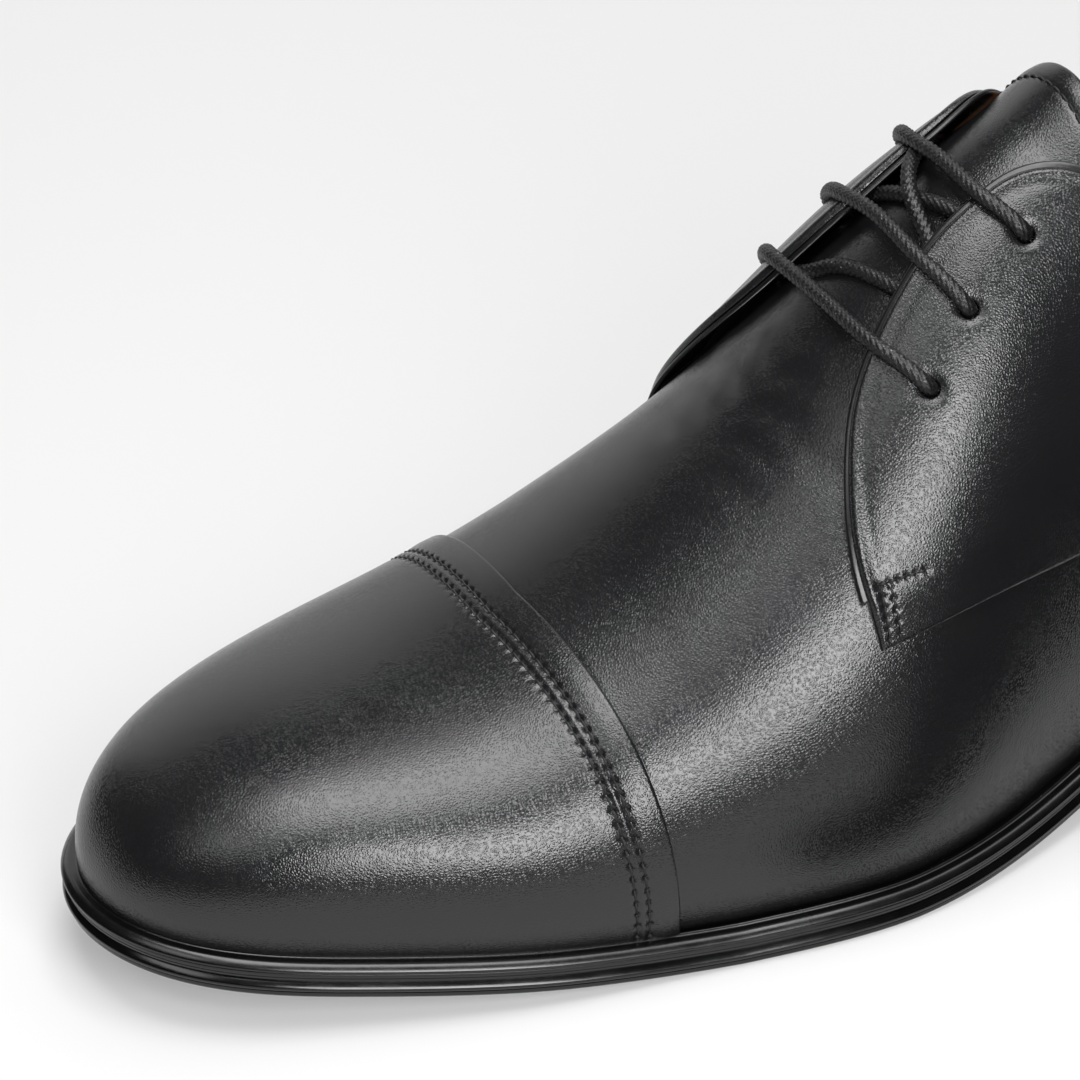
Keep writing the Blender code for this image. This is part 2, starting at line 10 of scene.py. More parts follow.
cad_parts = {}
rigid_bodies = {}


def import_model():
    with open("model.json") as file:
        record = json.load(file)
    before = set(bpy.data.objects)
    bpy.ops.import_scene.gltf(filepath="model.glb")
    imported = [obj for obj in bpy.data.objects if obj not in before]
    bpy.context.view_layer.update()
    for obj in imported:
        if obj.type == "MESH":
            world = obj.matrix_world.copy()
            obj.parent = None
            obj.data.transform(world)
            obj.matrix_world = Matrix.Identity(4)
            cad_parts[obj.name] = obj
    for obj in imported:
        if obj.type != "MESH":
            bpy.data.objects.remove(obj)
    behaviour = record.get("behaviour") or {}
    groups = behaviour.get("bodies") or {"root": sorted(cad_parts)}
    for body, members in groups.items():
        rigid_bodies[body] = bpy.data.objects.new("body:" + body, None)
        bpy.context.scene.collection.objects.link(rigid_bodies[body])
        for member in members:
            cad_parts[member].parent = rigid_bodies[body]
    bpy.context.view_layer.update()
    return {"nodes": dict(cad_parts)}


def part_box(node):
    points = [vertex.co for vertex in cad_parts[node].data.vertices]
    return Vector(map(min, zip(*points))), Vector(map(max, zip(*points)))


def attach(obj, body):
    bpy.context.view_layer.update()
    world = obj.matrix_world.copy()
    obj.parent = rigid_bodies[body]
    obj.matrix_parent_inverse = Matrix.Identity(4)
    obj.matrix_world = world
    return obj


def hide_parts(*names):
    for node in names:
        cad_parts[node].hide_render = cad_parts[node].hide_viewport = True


for leftOver in list(bpy.data.objects):
    bpy.data.objects.remove(leftOver, do_unlink=True)
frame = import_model()
print("frame loaded:", ", ".join(sorted(frame["nodes"])))

mm = 0.001

# The last of the left shoe: toe along -Y, outer side of the foot along +X, metres
shoeLast = {
    "length": 0.2920, "ballWidth": 0.0885, "heelWidth": 0.0605, "instepHeight": 0.0885,
    "toeHeight": 0.0291, "heelHeight": 0.0251, "toeSpring": 0.0092,
    "lowerHandle": 0.700, "heelCentre": 0.125, "toeStart": 0.779,
    "toePlanPower": 2.508, "toeSidePower": 2.332,
    "outsole": 0.0036, "welt": 0.0022, "weltReach": 0.0036, "gap": 0.0003,
}

# Half sections along the last, as shares of the local width and height
sectionColumns = (
    "station", "ball", "lateral", "medial", "swing", "toe", "ridge", "shoulder",
    "bulge", "lift", "spring", "reach",
)
sections = (
    (0.000, 0.0, 0.512, 0.488, 0.000, 0.0, 1.130, 0.200, 0.220, 1.000, 0.00, 0.80),
    (0.125, 0.0, 0.512, 0.488, 0.000, 0.0, 1.175, 0.215, 0.180, 0.930, 0.00, 0.75),
    (0.250, 0.0, 0.515, 0.475, 0.000, 0.0, 1.220, 0.232, 0.140, 0.720, 0.00, 0.75),
    (0.380, 0.4, 0.440, 0.391, 0.000, 0.0, 1.114, 0.210, 0.132, 0.422, 0.00, 0.90),
    (0.500, 1.0, 0.452, 0.366, 0.006, 0.0, 1.000, 0.223, 0.132, 0.096, 0.00, 1.00),
    (0.600, 1.0, 0.524, 0.431, 0.002, 0.4, 1.018, 0.249, 0.132, 0.000, 0.00, 1.00),
    (0.700, 1.0, 0.502, 0.473, -0.017, 0.7, 0.987, 0.284, 0.132, 0.000, 0.00, 1.00),
    (0.800, 1.0, 0.455, 0.470, -0.035, 1.0, 1.096, 0.288, 0.132, 0.000, 0.27, 1.00),
    (0.900, 1.0, 0.384, 0.408, -0.038, 1.0, 1.000, 0.275, 0.132, 0.000, 0.63, 1.00),
    (1.000, 1.0, 0.391, 0.383, -0.050, 1.0, 1.000, 0.279, 0.132, 0.000, 1.00, 1.00),
)


def naturalCurve(xs, ys):
    xs, ys = np.asarray(xs, float), np.asarray(ys, float)
    steps, count = np.diff(xs), len(xs)
    matrix, right = np.eye(count), np.zeros(count)
    for i in range(1, count - 1):
        matrix[i, i - 1:i + 2] = steps[i - 1], 2 * (steps[i - 1] + steps[i]), steps[i]
        slopes = (ys[i + 1] - ys[i]) / steps[i], (ys[i] - ys[i - 1]) / steps[i - 1]
        right[i] = 6 * (slopes[0] - slopes[1])
    bends = np.linalg.solve(matrix, right)

    def at(x):
        x = np.asarray(x, float)
        inside = np.clip(x, xs[0], xs[-1])
        i = np.clip(np.searchsorted(xs, inside, side="right") - 1, 0, count - 2)
        a, b = (xs[i + 1] - inside) / steps[i], (inside - xs[i]) / steps[i]
        curve = ((a ** 3 - a) * bends[i] + (b ** 3 - b) * bends[i + 1]) * steps[i] ** 2 / 6
        ends = (ys[1] - ys[0]) / steps[0], (ys[-1] - ys[-2]) / steps[-1]
        past = np.where(x < xs[0], ends[0] * (x - xs[0]), ends[1] * (x - inside))
        return a * ys[i] + b * ys[i + 1] + curve + past

    return at


def lastCurves():
    column = dict(zip(sectionColumns, np.array(sections).T))
    size = shoeLast
    width = size["heelWidth"] + (size["ballWidth"] - size["heelWidth"]) * column["ball"]
    height = size["instepHeight"] + (size["toeHeight"] - size["instepHeight"]) * column["toe"]
    values = {name: column[name] * width for name in ("lateral", "medial", "swing", "shoulder")}
    values["ridge"] = column["ridge"] * height
    values["bulge"] = column["bulge"]
    values["lift"] = column["lift"] * size["heelHeight"] + column["spring"] * size["toeSpring"]
    values["reach"] = column["reach"] * size["weltReach"]
    return {name: naturalCurve(column["station"], value) for name, value in values.items()}


curveOf = lastCurves()
lastLength = shoeLast["length"]
heelCentre = shoeLast["heelCentre"]
toeStart = shoeLast["toeStart"]
featherLift = shoeLast["outsole"] + shoeLast["welt"] + 2 * shoeLast["gap"]


def groundAt(y):
    return np.maximum(0.0, curveOf["lift"](0.5 - y / lastLength))


def lastSurface(side, station, share):
    station, share = np.broadcast_arrays(np.asarray(station, float), share)
    fan = np.maximum(0.0, 1 - station / heelCentre) * math.pi / 2
    along = np.where(station < heelCentre, heelCentre * (1 - np.sin(fan)), station)
    axis = np.maximum(along, heelCentre)
    closing = np.clip((along - toeStart) / (1 - toeStart), 0, 1)
    narrowing = np.sqrt(1 - closing ** shoeLast["toePlanPower"])
    lowering = np.sqrt(1 - closing ** shoeLast["toeSidePower"])
    lateral, medial = curveOf["lateral"](axis), curveOf["medial"](axis)
    half = np.where(side > 0, lateral, medial)
    outX = side * half * narrowing * np.cos(fan)
    outY = heelCentre * lastLength * np.sin(fan)
    up = 1 - share
    even = (lateral + medial) / 2
    shoulder = curveOf["shoulder"](along) / (half + (even - half) * np.sin(fan))
    bulge = 1 + curveOf["bulge"](along)
    out = up ** 3 + 3 * bulge * up ** 2 * share + 3 * shoulder * up * share ** 2
    rise = 3 * shoeLast["lowerHandle"] * up ** 2 * share + 3 * up * share ** 2 + share ** 3
    x = curveOf["swing"](axis) + outX * out
    y = (0.5 - axis) * lastLength + outY * out
    z = groundAt((0.5 - along) * lastLength) + featherLift + curveOf["ridge"](along) * lowering * rise
    return np.stack([x, y, z], -1)


nudge = 1e-4  # a small step in station or share, for directions on the last


def lastNormal(side, station, share):
    station, share = np.broadcast_arrays(np.asarray(station, float), share)
    step = np.clip((1 - station) / 4, 1e-9, nudge)
    along = lastSurface(side, station + step, share) - lastSurface(side, station - step, share)
    up = lastSurface(side, station, share + nudge) - lastSurface(side, station, share - nudge)
    normal = np.cross(up, along) * (np.asarray(side) * np.ones_like(station))[..., None]
    length = np.linalg.norm(normal, axis=-1, keepdims=True)
    tip = station[..., None] > 1 - 1e-6
    return np.where(tip, (0.0, -1.0, 0.0), normal / np.maximum(length, 1e-20))


def offLast(side, station, share, offset=0.0):
    offset = np.asarray(offset) * np.ones(np.broadcast(station, share).shape)
    return lastSurface(side, station, share) + lastNormal(side, station, share) * offset[..., None]


def smoothStep(low, high, value):
    share = np.clip((value - low) / (high - low), 0, 1)
    return share * share * (3 - 2 * share)


def bell(value, middle, width):
    return np.exp(-((value - middle) / width) ** 2)


def runOf(line):
    return np.concatenate([[0], np.cumsum(np.linalg.norm(np.diff(line, axis=0), axis=1))])


def readAlong(line, run, where):
    return np.stack([np.interp(where, run, line[:, k]) for k in range(3)], -1)


def stitchPlaces(line, normal, pitch):
    # Even stitches along a line: their middles, normals and needle holes
    run = runOf(line)
    count = max(2, int(round(run[-1] / pitch)))
    middles = (np.arange(count) + 0.5) * run[-1] / count
    holes = np.arange(count + 1) * run[-1] / count
    return readAlong(line, run, middles), readAlong(normal, run, middles), readAlong(line, run, holes)


def overRidge(half):
    # Shares and sides of a line up the outer side, over the ridge and down the inner side
    sides = np.concatenate([np.ones(len(half)), -np.ones(len(half) - 1)])
    return np.concatenate([half, half[-2::-1]]), sides


featherPoints = {"heel": 40, "side": 150, "toe": 60}  # points of the sole's line on each side


def featherLine(grow):
    heel = np.linspace(0, heelCentre, featherPoints["heel"])[:-1]
    waist = np.linspace(heelCentre, toeStart, featherPoints["side"])[:-1]
    toe = toeStart + (1 - toeStart) * np.sin(np.linspace(0, math.pi / 2, featherPoints["toe"]))
    stations = np.concatenate([heel, waist, toe])
    lateral = lastSurface(1, stations, 0.0)
    medial = lastSurface(-1, stations, 0.0)[-2:0:-1]
    line = np.concatenate([lateral, medial])[:, :2]
    shares = np.concatenate([stations, stations[-2:0:-1]])
    tangent = np.roll(line, -1, axis=0) - np.roll(line, 1, axis=0)
    normal = np.stack([-tangent[:, 1], tangent[:, 0]], -1)
    normal /= np.linalg.norm(normal, axis=1, keepdims=True)
    return line + normal * grow(shares)[:, None]


def weltEdge(extra):
    return featherLine(lambda station: curveOf["reach"](station) + extra)


# The frame says where the last stands: the sole's box in plan is the outsole node's
soleLow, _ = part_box("outsole")
soleLine = weltEdge(0.0)
lastOrigin = np.array([soleLine[:, 0].min() - soleLow.x, soleLine[:, 1].min() - soleLow.y, 0.0])


def toLinear(hexColour):
    parts = [int(hexColour[k:k + 2], 16) / 255 for k in (1, 3, 5)]
    return (*[p / 12.92 if p <= 0.04045 else ((p + 0.055) / 1.055) ** 2.4 for p in parts], 1.0)


def addNode(tree, kind, settings=None, inputs=None):
    node = tree.nodes.new(kind)
    for name, value in (settings or {}).items():
        setattr(node, name, value)
    for name, value in (inputs or {}).items():
        if isinstance(value, bpy.types.NodeSocket):
            tree.links.new(value, node.inputs[name])
        else:
            node.inputs[name].default_value = value
    return node


def newMaterial(name):
    made = bpy.data.materials.new(name)
    made.use_nodes = True
    made.node_tree.nodes.clear()
    return made, made.node_tree


def finishMaterial(tree, settings):
    shader = addNode(tree, "ShaderNodeBsdfPrincipled", None, settings)
    addNode(tree, "ShaderNodeOutputMaterial", None, {"Surface": shader.outputs[0]})


# Full-grain calf, plated and waxed: tight pebbles that break a soft, broad shine
calfSettings = {
    "colour": "#121214", "colourHigh": "#161617", "grainMm": 0.46, "poreMm": 0.16,
    "grainDepthMm": 0.027, "poreDepthMm": 0.005, "patchMm": 14.0, "warpMm": 3.0, "shiftMm": 0.5,
    "domeReach": 0.42, "roughness": 0.24, "roughnessSpread": 0.04, "ior": 1.52,
}


def calfLeather(name, settings):
    made, tree = newMaterial(name)
    place = addNode(tree, "ShaderNodeTexCoord").outputs["Object"]
    warp = addNode(tree, "ShaderNodeTexNoise", None, {
        "Vector": place, "Scale": 1 / (settings["warpMm"] * mm), "Detail": 2.0, "Roughness": 0.5})
    shift = addNode(tree, "ShaderNodeVectorMath", {"operation": "MULTIPLY_ADD"}, {
        0: warp.outputs["Color"], 1: (settings["shiftMm"] * mm,) * 3, 2: place})
    pebbles = addNode(tree, "ShaderNodeTexVoronoi", {"feature": "DISTANCE_TO_EDGE"}, {
        "Vector": shift.outputs[0], "Scale": 1 / (settings["grainMm"] * mm), "Randomness": 1.0})
    domes = addNode(tree, "ShaderNodeMapRange", {"interpolation_type": "SMOOTHSTEP"}, {
        "Value": pebbles.outputs["Distance"], "From Min": 0.0, "From Max": settings["domeReach"]})
    pores = addNode(tree, "ShaderNodeTexNoise", None, {
        "Vector": shift.outputs[0], "Scale": 1 / (settings["poreMm"] * mm), "Detail": 2.0,
        "Roughness": 0.6})
    patches = addNode(tree, "ShaderNodeTexNoise", None, {
        "Vector": place, "Scale": 1 / (settings["patchMm"] * mm), "Detail": 3.0, "Roughness": 0.55})
    coarse = addNode(tree, "ShaderNodeBump", None, {
        "Strength": 1.0, "Distance": settings["grainDepthMm"] * mm, "Height": domes.outputs["Result"]})
    fine = addNode(tree, "ShaderNodeBump", None, {
        "Strength": 1.0, "Distance": settings["poreDepthMm"] * mm, "Height": pores.outputs["Fac"],
        "Normal": coarse.outputs["Normal"]})
    gloss = addNode(tree, "ShaderNodeMapRange", None, {
        "Value": patches.outputs["Fac"], "From Min": 0.3, "From Max": 0.7,
        "To Min": settings["roughness"] - settings["roughnessSpread"] / 2,
        "To Max": settings["roughness"] + settings["roughnessSpread"] / 2})
    colour = addNode(tree, "ShaderNodeMix", {"data_type": "RGBA"}, {
        "Factor": patches.outputs["Fac"], 6: toLinear(settings["colour"]),
        7: toLinear(settings["colourHigh"])})
    finishMaterial(tree, {
        "Base Color": colour.outputs[2], "Roughness": gloss.outputs["Result"],
        "Normal": fine.outputs["Normal"], "IOR": settings["ior"]})
    return made


# Vegetable-tanned lining: dry, matt and warm, with a fine open grain
liningSettings = {
    "colour": "#a8703a", "colourHigh": "#bd8750", "grainMm": 0.8, "patchMm": 18.0,
    "depthMm": 0.03, "roughness": 0.55,
}


def tanLining(name, settings):
    made, tree = newMaterial(name)
    place = addNode(tree, "ShaderNodeTexCoord").outputs["Object"]
    grain = addNode(tree, "ShaderNodeTexVoronoi", {"feature": "SMOOTH_F1"}, {
        "Vector": place, "Scale": 1 / (settings["grainMm"] * mm)})
    patches = addNode(tree, "ShaderNodeTexNoise", None, {
        "Vector": place, "Scale": 1 / (settings["patchMm"] * mm), "Detail": 4.0})
    bump = addNode(tree, "ShaderNodeBump", None, {
        "Strength": 1.0, "Distance": settings["depthMm"] * mm, "Height": grain.outputs["Distance"]})
    colour = addNode(tree, "ShaderNodeMix", {"data_type": "RGBA"}, {
        "Factor": patches.outputs["Fac"], 6: toLinear(settings["colour"]),
        7: toLinear(settings["colourHigh"])})
    finishMaterial(tree, {
        "Base Color": colour.outputs[2], "Roughness": settings["roughness"],
        "Normal": bump.outputs["Normal"]})
    return made


# Sole edge: rubber ground, inked and waxed, so that its beads draw sharp bright lines
edgeSettings = {
    "colour": "#060607", "rippleMm": 5.0, "depthMm": 0.03, "roughness": 0.15, "spread": 0.08, "ior": 1.5,
}


def polishedEdge(name, settings):
    made, tree = newMaterial(name)
    place = addNode(tree, "ShaderNodeTexCoord").outputs["Object"]
    ripple = addNode(tree, "ShaderNodeTexNoise", None, {
        "Vector": place, "Scale": 1 / (settings["rippleMm"] * mm), "Detail": 3.0, "Roughness": 0.6})
    bump = addNode(tree, "ShaderNodeBump", None, {
        "Strength": 1.0, "Distance": settings["depthMm"] * mm, "Height": ripple.outputs["Fac"]})
    gloss = addNode(tree, "ShaderNodeMapRange", None, {
        "Value": ripple.outputs["Fac"], "From Min": 0.3, "From Max": 0.7,
        "To Min": settings["roughness"], "To Max": settings["roughness"] + settings["spread"]})
    finishMaterial(tree, {
        "Base Color": toLinear(settings["colour"]), "Roughness": gloss.outputs["Result"],
        "Normal": bump.outputs["Normal"], "IOR": settings["ior"]})
    return made


# Moulded rubber underside: matt, with a fine even pebble
rubberSettings = {"colour": "#101011", "pebbleMm": 1.1, "depthMm": 0.05, "roughness": 0.55}


def mouldedRubber(name, settings):
    made, tree = newMaterial(name)
    place = addNode(tree, "ShaderNodeTexCoord").outputs["Object"]
    pebbles = addNode(tree, "ShaderNodeTexVoronoi", {"feature": "SMOOTH_F1"}, {
        "Vector": place, "Scale": 1 / (settings["pebbleMm"] * mm)})
    bump = addNode(tree, "ShaderNodeBump", None, {
        "Strength": 1.0, "Distance": settings["depthMm"] * mm, "Height": pebbles.outputs["Distance"]})
    finishMaterial(tree, {
        "Base Color": toLinear(settings["colour"]), "Roughness": settings["roughness"],
        "Normal": bump.outputs["Normal"]})
    return made


# Stacked heel: leather lifts glued, ground, inked black and burnished, with faint joint lines
heelSettings = {
    "colour": "#0c0c0d", "liftMm": 4.6, "lineMm": 0.22, "depthMm": 0.12, "streakMm": 3.5,
    "streakFlat": 9.0, "streakDepthMm": 0.03, "roughness": 0.24,
}


def stackedHeel(name, settings):
    made, tree = newMaterial(name)
    place = addNode(tree, "ShaderNodeTexCoord").outputs["Object"]
    height = addNode(tree, "ShaderNodeSeparateXYZ", None, {0: place}).outputs["Z"]
    saw = addNode(tree, "ShaderNodeMath", {"operation": "PINGPONG"}, {
        0: height, 1: settings["liftMm"] * mm / 2})
    line = addNode(tree, "ShaderNodeMapRange", {"interpolation_type": "SMOOTHSTEP"}, {
        "Value": saw.outputs[0], "From Min": 0.0, "From Max": settings["lineMm"] * mm})
    fibres = addNode(tree, "ShaderNodeMapping", None, {
        0: place, 3: (1.0, 1.0, settings["streakFlat"])})
    streaks = addNode(tree, "ShaderNodeTexNoise", None, {
        "Vector": fibres.outputs[0], "Scale": 1 / (settings["streakMm"] * mm), "Detail": 4.0})
    lines = addNode(tree, "ShaderNodeBump", None, {
        "Strength": 1.0, "Distance": settings["depthMm"] * mm, "Height": line.outputs["Result"]})
    bump = addNode(tree, "ShaderNodeBump", None, {
        "Strength": 1.0, "Distance": settings["streakDepthMm"] * mm, "Height": streaks.outputs["Fac"],
        "Normal": lines.outputs["Normal"]})
    finishMaterial(tree, {
        "Base Color": toLinear(settings["colour"]), "Roughness": settings["roughness"],
        "Normal": bump.outputs["Normal"]})
    return made


# Waxed cotton: the braid's own form with dull wax, so that only its tops catch light
cordSettings = {
    "colour": "#070708", "colourHigh": "#0f0f11", "fleck": "#77777a", "fleckMm": 0.34, "fleckFrom": 0.71,
    "fleckFade": 0.06, "fibreMm": 0.16, "depthMm": 0.05, "roughness": 0.40,
}


def waxedCotton(name, settings):
    made, tree = newMaterial(name)
    place = addNode(tree, "ShaderNodeTexCoord").outputs["Object"]
    fibres = addNode(tree, "ShaderNodeTexNoise", None, {
        "Vector": place, "Scale": 1 / (settings["fibreMm"] * mm), "Detail": 2.0})
    bump = addNode(tree, "ShaderNodeBump", None, {
        "Strength": 1.0, "Distance": settings["depthMm"] * mm, "Height": fibres.outputs["Fac"]})
    base = addNode(tree, "ShaderNodeMix", {"data_type": "RGBA"}, {
        "Factor": fibres.outputs["Fac"], 6: toLinear(settings["colour"]),
        7: toLinear(settings["colourHigh"])})
    spots = addNode(tree, "ShaderNodeTexNoise", None, {
        "Vector": place, "Scale": 1 / (settings["fleckMm"] * mm), "Detail": 1.0})
    flecks = addNode(tree, "ShaderNodeMapRange", {"interpolation_type": "SMOOTHSTEP"}, {
        "Value": spots.outputs["Fac"], "From Min": settings["fleckFrom"],
        "From Max": settings["fleckFrom"] + settings["fleckFade"]})
    colour = addNode(tree, "ShaderNodeMix", {"data_type": "RGBA"}, {
        "Factor": flecks.outputs["Result"], 6: base.outputs[2], 7: toLinear(settings["fleck"])})
    finishMaterial(tree, {
        "Base Color": colour.outputs[2], "Roughness": settings["roughness"],
        "Normal": bump.outputs["Normal"]})
    return made


calf = calfLeather("calf_full_grain_waxed", calfSettings)
lining = tanLining("lining_vegetable_tanned", liningSettings)
edgeBlack = polishedEdge("rubber_edge_ground_waxed", edgeSettings)
weltBlack = polishedEdge("welt_leather_inked_waxed", {**edgeSettings, "roughness": 0.20})
foldBlack = polishedEdge("calf_turned_edge_waxed", {**edgeSettings, "roughness": 0.26, "rippleMm": 2.0})
rubber = mouldedRubber("rubber_moulded_matt", rubberSettings)
heelBlack = stackedHeel("heel_leather_lifts_burnished", heelSettings)
cordBlack = waxedCotton("cotton_braid_waxed", cordSettings)
threadBlack = waxedCotton("thread_bonded_waxed", {
    **cordSettings, "fibreMm": 0.12, "roughness": 0.5, "fleckFrom": 0.9})
print("materials made:", len(bpy.data.materials))


def linkObject(name, data):
    obj = bpy.data.objects.new(name, data)
    bpy.context.scene.collection.objects.link(obj)
    return obj


def makePiece(name, points, faces, looks, faceLooks=None, sharpAngle=None):
    mesh = bpy.data.meshes.new(name)
    placed = np.asarray(points, float) - lastOrigin
    mesh.from_pydata(placed.tolist(), [], [tuple(f) for f in faces])
    shape = bmesh.new()
    shape.from_mesh(mesh)
    loose = [vertex for vertex in shape.verts if not vertex.link_faces]
    bmesh.ops.delete(shape, geom=loose, context="VERTS")
    bmesh.ops.recalc_face_normals(shape, faces=shape.faces)
    shape.to_mesh(mesh)
    shape.free()
    for look in looks:
        mesh.materials.append(look)
    if faceLooks is not None:
        mesh.polygons.foreach_set("material_index", np.asarray(faceLooks, np.int32))
    mesh.shade_smooth()
    if sharpAngle:
        mesh.set_sharp_from_angle(angle=math.radians(sharpAngle))
    return linkObject(name, mesh)


def finishPiece(obj, slotName, *nodes):
    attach(obj, "root")
    if nodes:
        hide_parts(*nodes)


def ringFaces(rings, around):
    faces = []
    for start in range(0, (rings - 1) * around, around):
        for i in range(around):
            j = (i + 1) % around
            faces.append((start + i, start + j, start + around + j, start + around + i))
    return faces


def gridFaces(rows, columns, missing=None):
    faces = []
    for i in range(rows - 1):
        for j in range(columns - 1):
            if missing is None or not missing[i, j]:
                a = i * columns + j
                faces.append((a, a + 1, a + columns + 1, a + columns))
    return faces


def closedWall(outer, inner, faces, lined=True):
    # Coinciding outer points become one, and each open edge is bridged to the inner side
    outer, inner = outer.reshape(-1, 3), inner.reshape(-1, 3)
    _, first, index = np.unique(
        np.round(outer, 7) + 0.0, axis=0, return_index=True, return_inverse=True)
    index = index.reshape(-1)
    kept, places = [], []
    for number, face in enumerate(faces):
        corners = [int(index[corner]) for corner in face]
        corners = [c for k, c in enumerate(corners) if c != corners[k - 1]]
        if len(set(corners)) > 2:
            kept.append(corners)
            places.append(number)
    uses = {}
    for face in kept:
        for k, corner in enumerate(face):
            edge = (corner, face[(k + 1) % len(face)])
            uses.setdefault(frozenset(edge), []).append(edge)
    used = sorted({corner for face in kept for corner in face})
    number = {corner: k for k, corner in enumerate(used)}
    solid = [tuple(number[c] for c in face) for face in kept]
    if lined:
        solid += [tuple(number[c] + len(used) for c in reversed(face)) for face in kept]
    for ends in uses.values():
        if len(ends) == 1:
            a, b = (number[c] for c in ends[0])
            solid.append((b, a, a + len(used), b + len(used)))
    points = np.concatenate([outer[first][used], inner[first][used]])
    return points, solid, np.array(places)


def innerLooks(faces, places, looks):
    # Looks of a lined wall's faces: the first stays outside, the given ones go inside
    every = np.zeros(len(faces), int)
    every[len(places):2 * len(places)] = looks
    return every


def distanceTo(points, line):
    tree = KDTree(len(line))
    for k, point in enumerate(line):
        tree.insert(point, k)
    tree.balance()
    flat = points.reshape(-1, 3)
    return np.array([tree.find(point)[2] for point in flat]).reshape(points.shape[:-1])


def roundDrop(distance, radius):
    inside = np.clip(radius - distance, 0, radius)
    return radius - np.sqrt(np.maximum(radius ** 2 - inside ** 2, 0))


# Quarters: seams as (share of the length, share of the way up the section)
quarterShape = {
    "top": (
        (0.000, 0.360), (0.060, 0.345), (0.125, 0.312), (0.190, 0.285), (0.250, 0.285),
        (0.315, 0.350), (0.370, 0.470), (0.408, 0.630), (0.430, 0.745), (0.446, 0.800),
        (0.460, 0.828), (0.478, 0.840), (0.504, 0.842), (0.529, 0.818), (0.553, 0.778),
        (0.570, 0.732), (0.585, 0.659), (0.596, 0.580), (0.602, 0.500), (0.603, 0.430),
    ),
    "bottom": (
        (0.000, 0.000), (0.100, 0.000), (0.200, 0.003), (0.240, 0.025), (0.280, 0.068),
        (0.340, 0.130), (0.400, 0.182), (0.476, 0.235), (0.538, 0.298), (0.603, 0.367),
    ),
    "step": 0.0016, "seamStep": 0.0011, "stand": 0.0022, "standTop": 0.0012,
    "freeShares": (0.470, 0.540), "freeStations": (0.350, 0.395), "rise": (0.450, 0.550),
    "sweepShares": (0.200, 0.760), "sweepStations": (0.300, 0.440),
    "wall": 0.0020, "flapWall": 0.0010, "thinnest": 0.0002, "skived": 0.007,
    "edgeRadius": 0.0010, "collarRadius": 0.0014, "collarStations": (0.37, 0.42), "collarEnd": 0.440,
    "seamRadius": 0.0007, "seamReach": 0.004, "innerRadius": 0.0004, "innerRound": 0.9,
    "fanFrom": 0.400, "backSeamDepth": 0.00035, "backSeamWidth": 0.0005, "backSeamEnd": 0.05,
    "tuck": 0.0006, "tuckStations": (0.20, 0.25),
    # the folded edge: a raised lip and a shallow groove behind it, as (size, distance in, width)
    "lip": (0.00016, 0.0010, 0.0007), "lipGroove": (0.00010, 0.0027, 0.0009),
    "lipStations": (0.41, 0.45), "lipHeights": (0.003, 0.007),
}
# Its grid, in mm: (run, spacing) along the edge from the heel and from both ends of the flap, then
# the depths of the rows below the edge and above the lower seam
quarterCells = {
    "collar": ((0, 0.25), (2, 0.4), (6, 1.2)), "flapFrom": 0.42, "flap": ((-8, 1.1), (0, 0.5)),
    "end": ((-4, 0.5), (0, 0.2)),
    "top": (0, 0.08, 0.2, 0.36, 0.56, 0.8, 1.05, 1.3, 1.6, 1.9, 2.2, 2.6, *np.arange(3.0, 18.1, 0.5)),
    "low": (0, 0.1, 0.25, 0.5, 0.9, 1.5), "topMost": 0.6, "lowMost": 0.15, "middle": 18,
}
eyelets = {
    "places": ((0.5365, 0.290), (0.5050, 0.245), (0.4650, 0.210)),
    "radius": 0.00150, "dent": 0.00050, "dentReach": 0.0022, "ringCells": (3, 8), "lip": 0.00012,
}


def freeness(station, share):
    return smoothStep(*quarterShape["freeStations"], station) * smoothStep(*quarterShape["freeShares"], share)


def flapTop(station, share):
    low, high = quarterShape["standTop"], quarterShape["stand"]
    stand = low + (high - low) * smoothStep(*quarterShape["rise"], station)
    shape = quarterShape
    sweep = smoothStep(*shape["sweepStations"], station) * smoothStep(*shape["sweepShares"], share)
    return shape["step"] + stand * sweep


def quarterEdge():
    line = np.array(quarterShape["top"])
    run = runOf(line * np.array([lastLength, shoeLast["instepHeight"]]))
    return naturalCurve(run, line[:, 0]), naturalCurve(run, line[:, 1]), run[-1]


edgeStation, edgeShare, edgeLength = quarterEdge()
edgeRuns = np.linspace(0, edgeLength, 2000)
bottomCurve = naturalCurve(*np.array(quarterShape["bottom"]).T)


def quarterBottom(station):
    return np.maximum(bottomCurve(station), 0.0)


def collarShare(station):
    run = np.linspace(0, edgeLength, 600)
    stations, shares = edgeStation(run), edgeShare(run)
    climbing = stations < quarterShape["collarEnd"]
    collar = np.interp(station, stations[climbing], shares[climbing])
    return np.where(station < quarterShape["collarEnd"], collar, 1.0)


def eyeletPlaces():
    places = []
    shares = np.linspace(0.56, 1, 400)
    for station, spread in eyelets["places"]:
        for side in (1, -1):
            points = offLast(side, station, shares, flapTop(station, shares))
            wanted = side * spread * shoeLast["ballWidth"] + float(curveOf["swing"](station))
            share = float(np.interp(side * wanted, (side * points[:, 0])[::-1], shares[::-1]))
            places.append((side, station, share))
    return places


eyeletSpots = eyeletPlaces()


# Bar tack in the quarter's corner, as rows of (station, share) points on the quarter's face
tack = {
    "rows": (((0.5945, 0.4587), (0.5979, 0.3762)), ((0.5897, 0.4459), (0.5914, 0.3705)),
             ((0.5955, 0.4619), (0.5837, 0.4435), (0.5702, 0.4202))),
    "corner": (0.565, 0.480), "sunk": 0.12 * mm, "pitchMm": 1.75, "pit": 0.00040, "pitRadius": 0.00045,
    "thread": {"Length": 1.35 * mm, "Thread": 0.40 * mm, "Rise": 0.14 * mm, "Sink": 0.34 * mm},
}


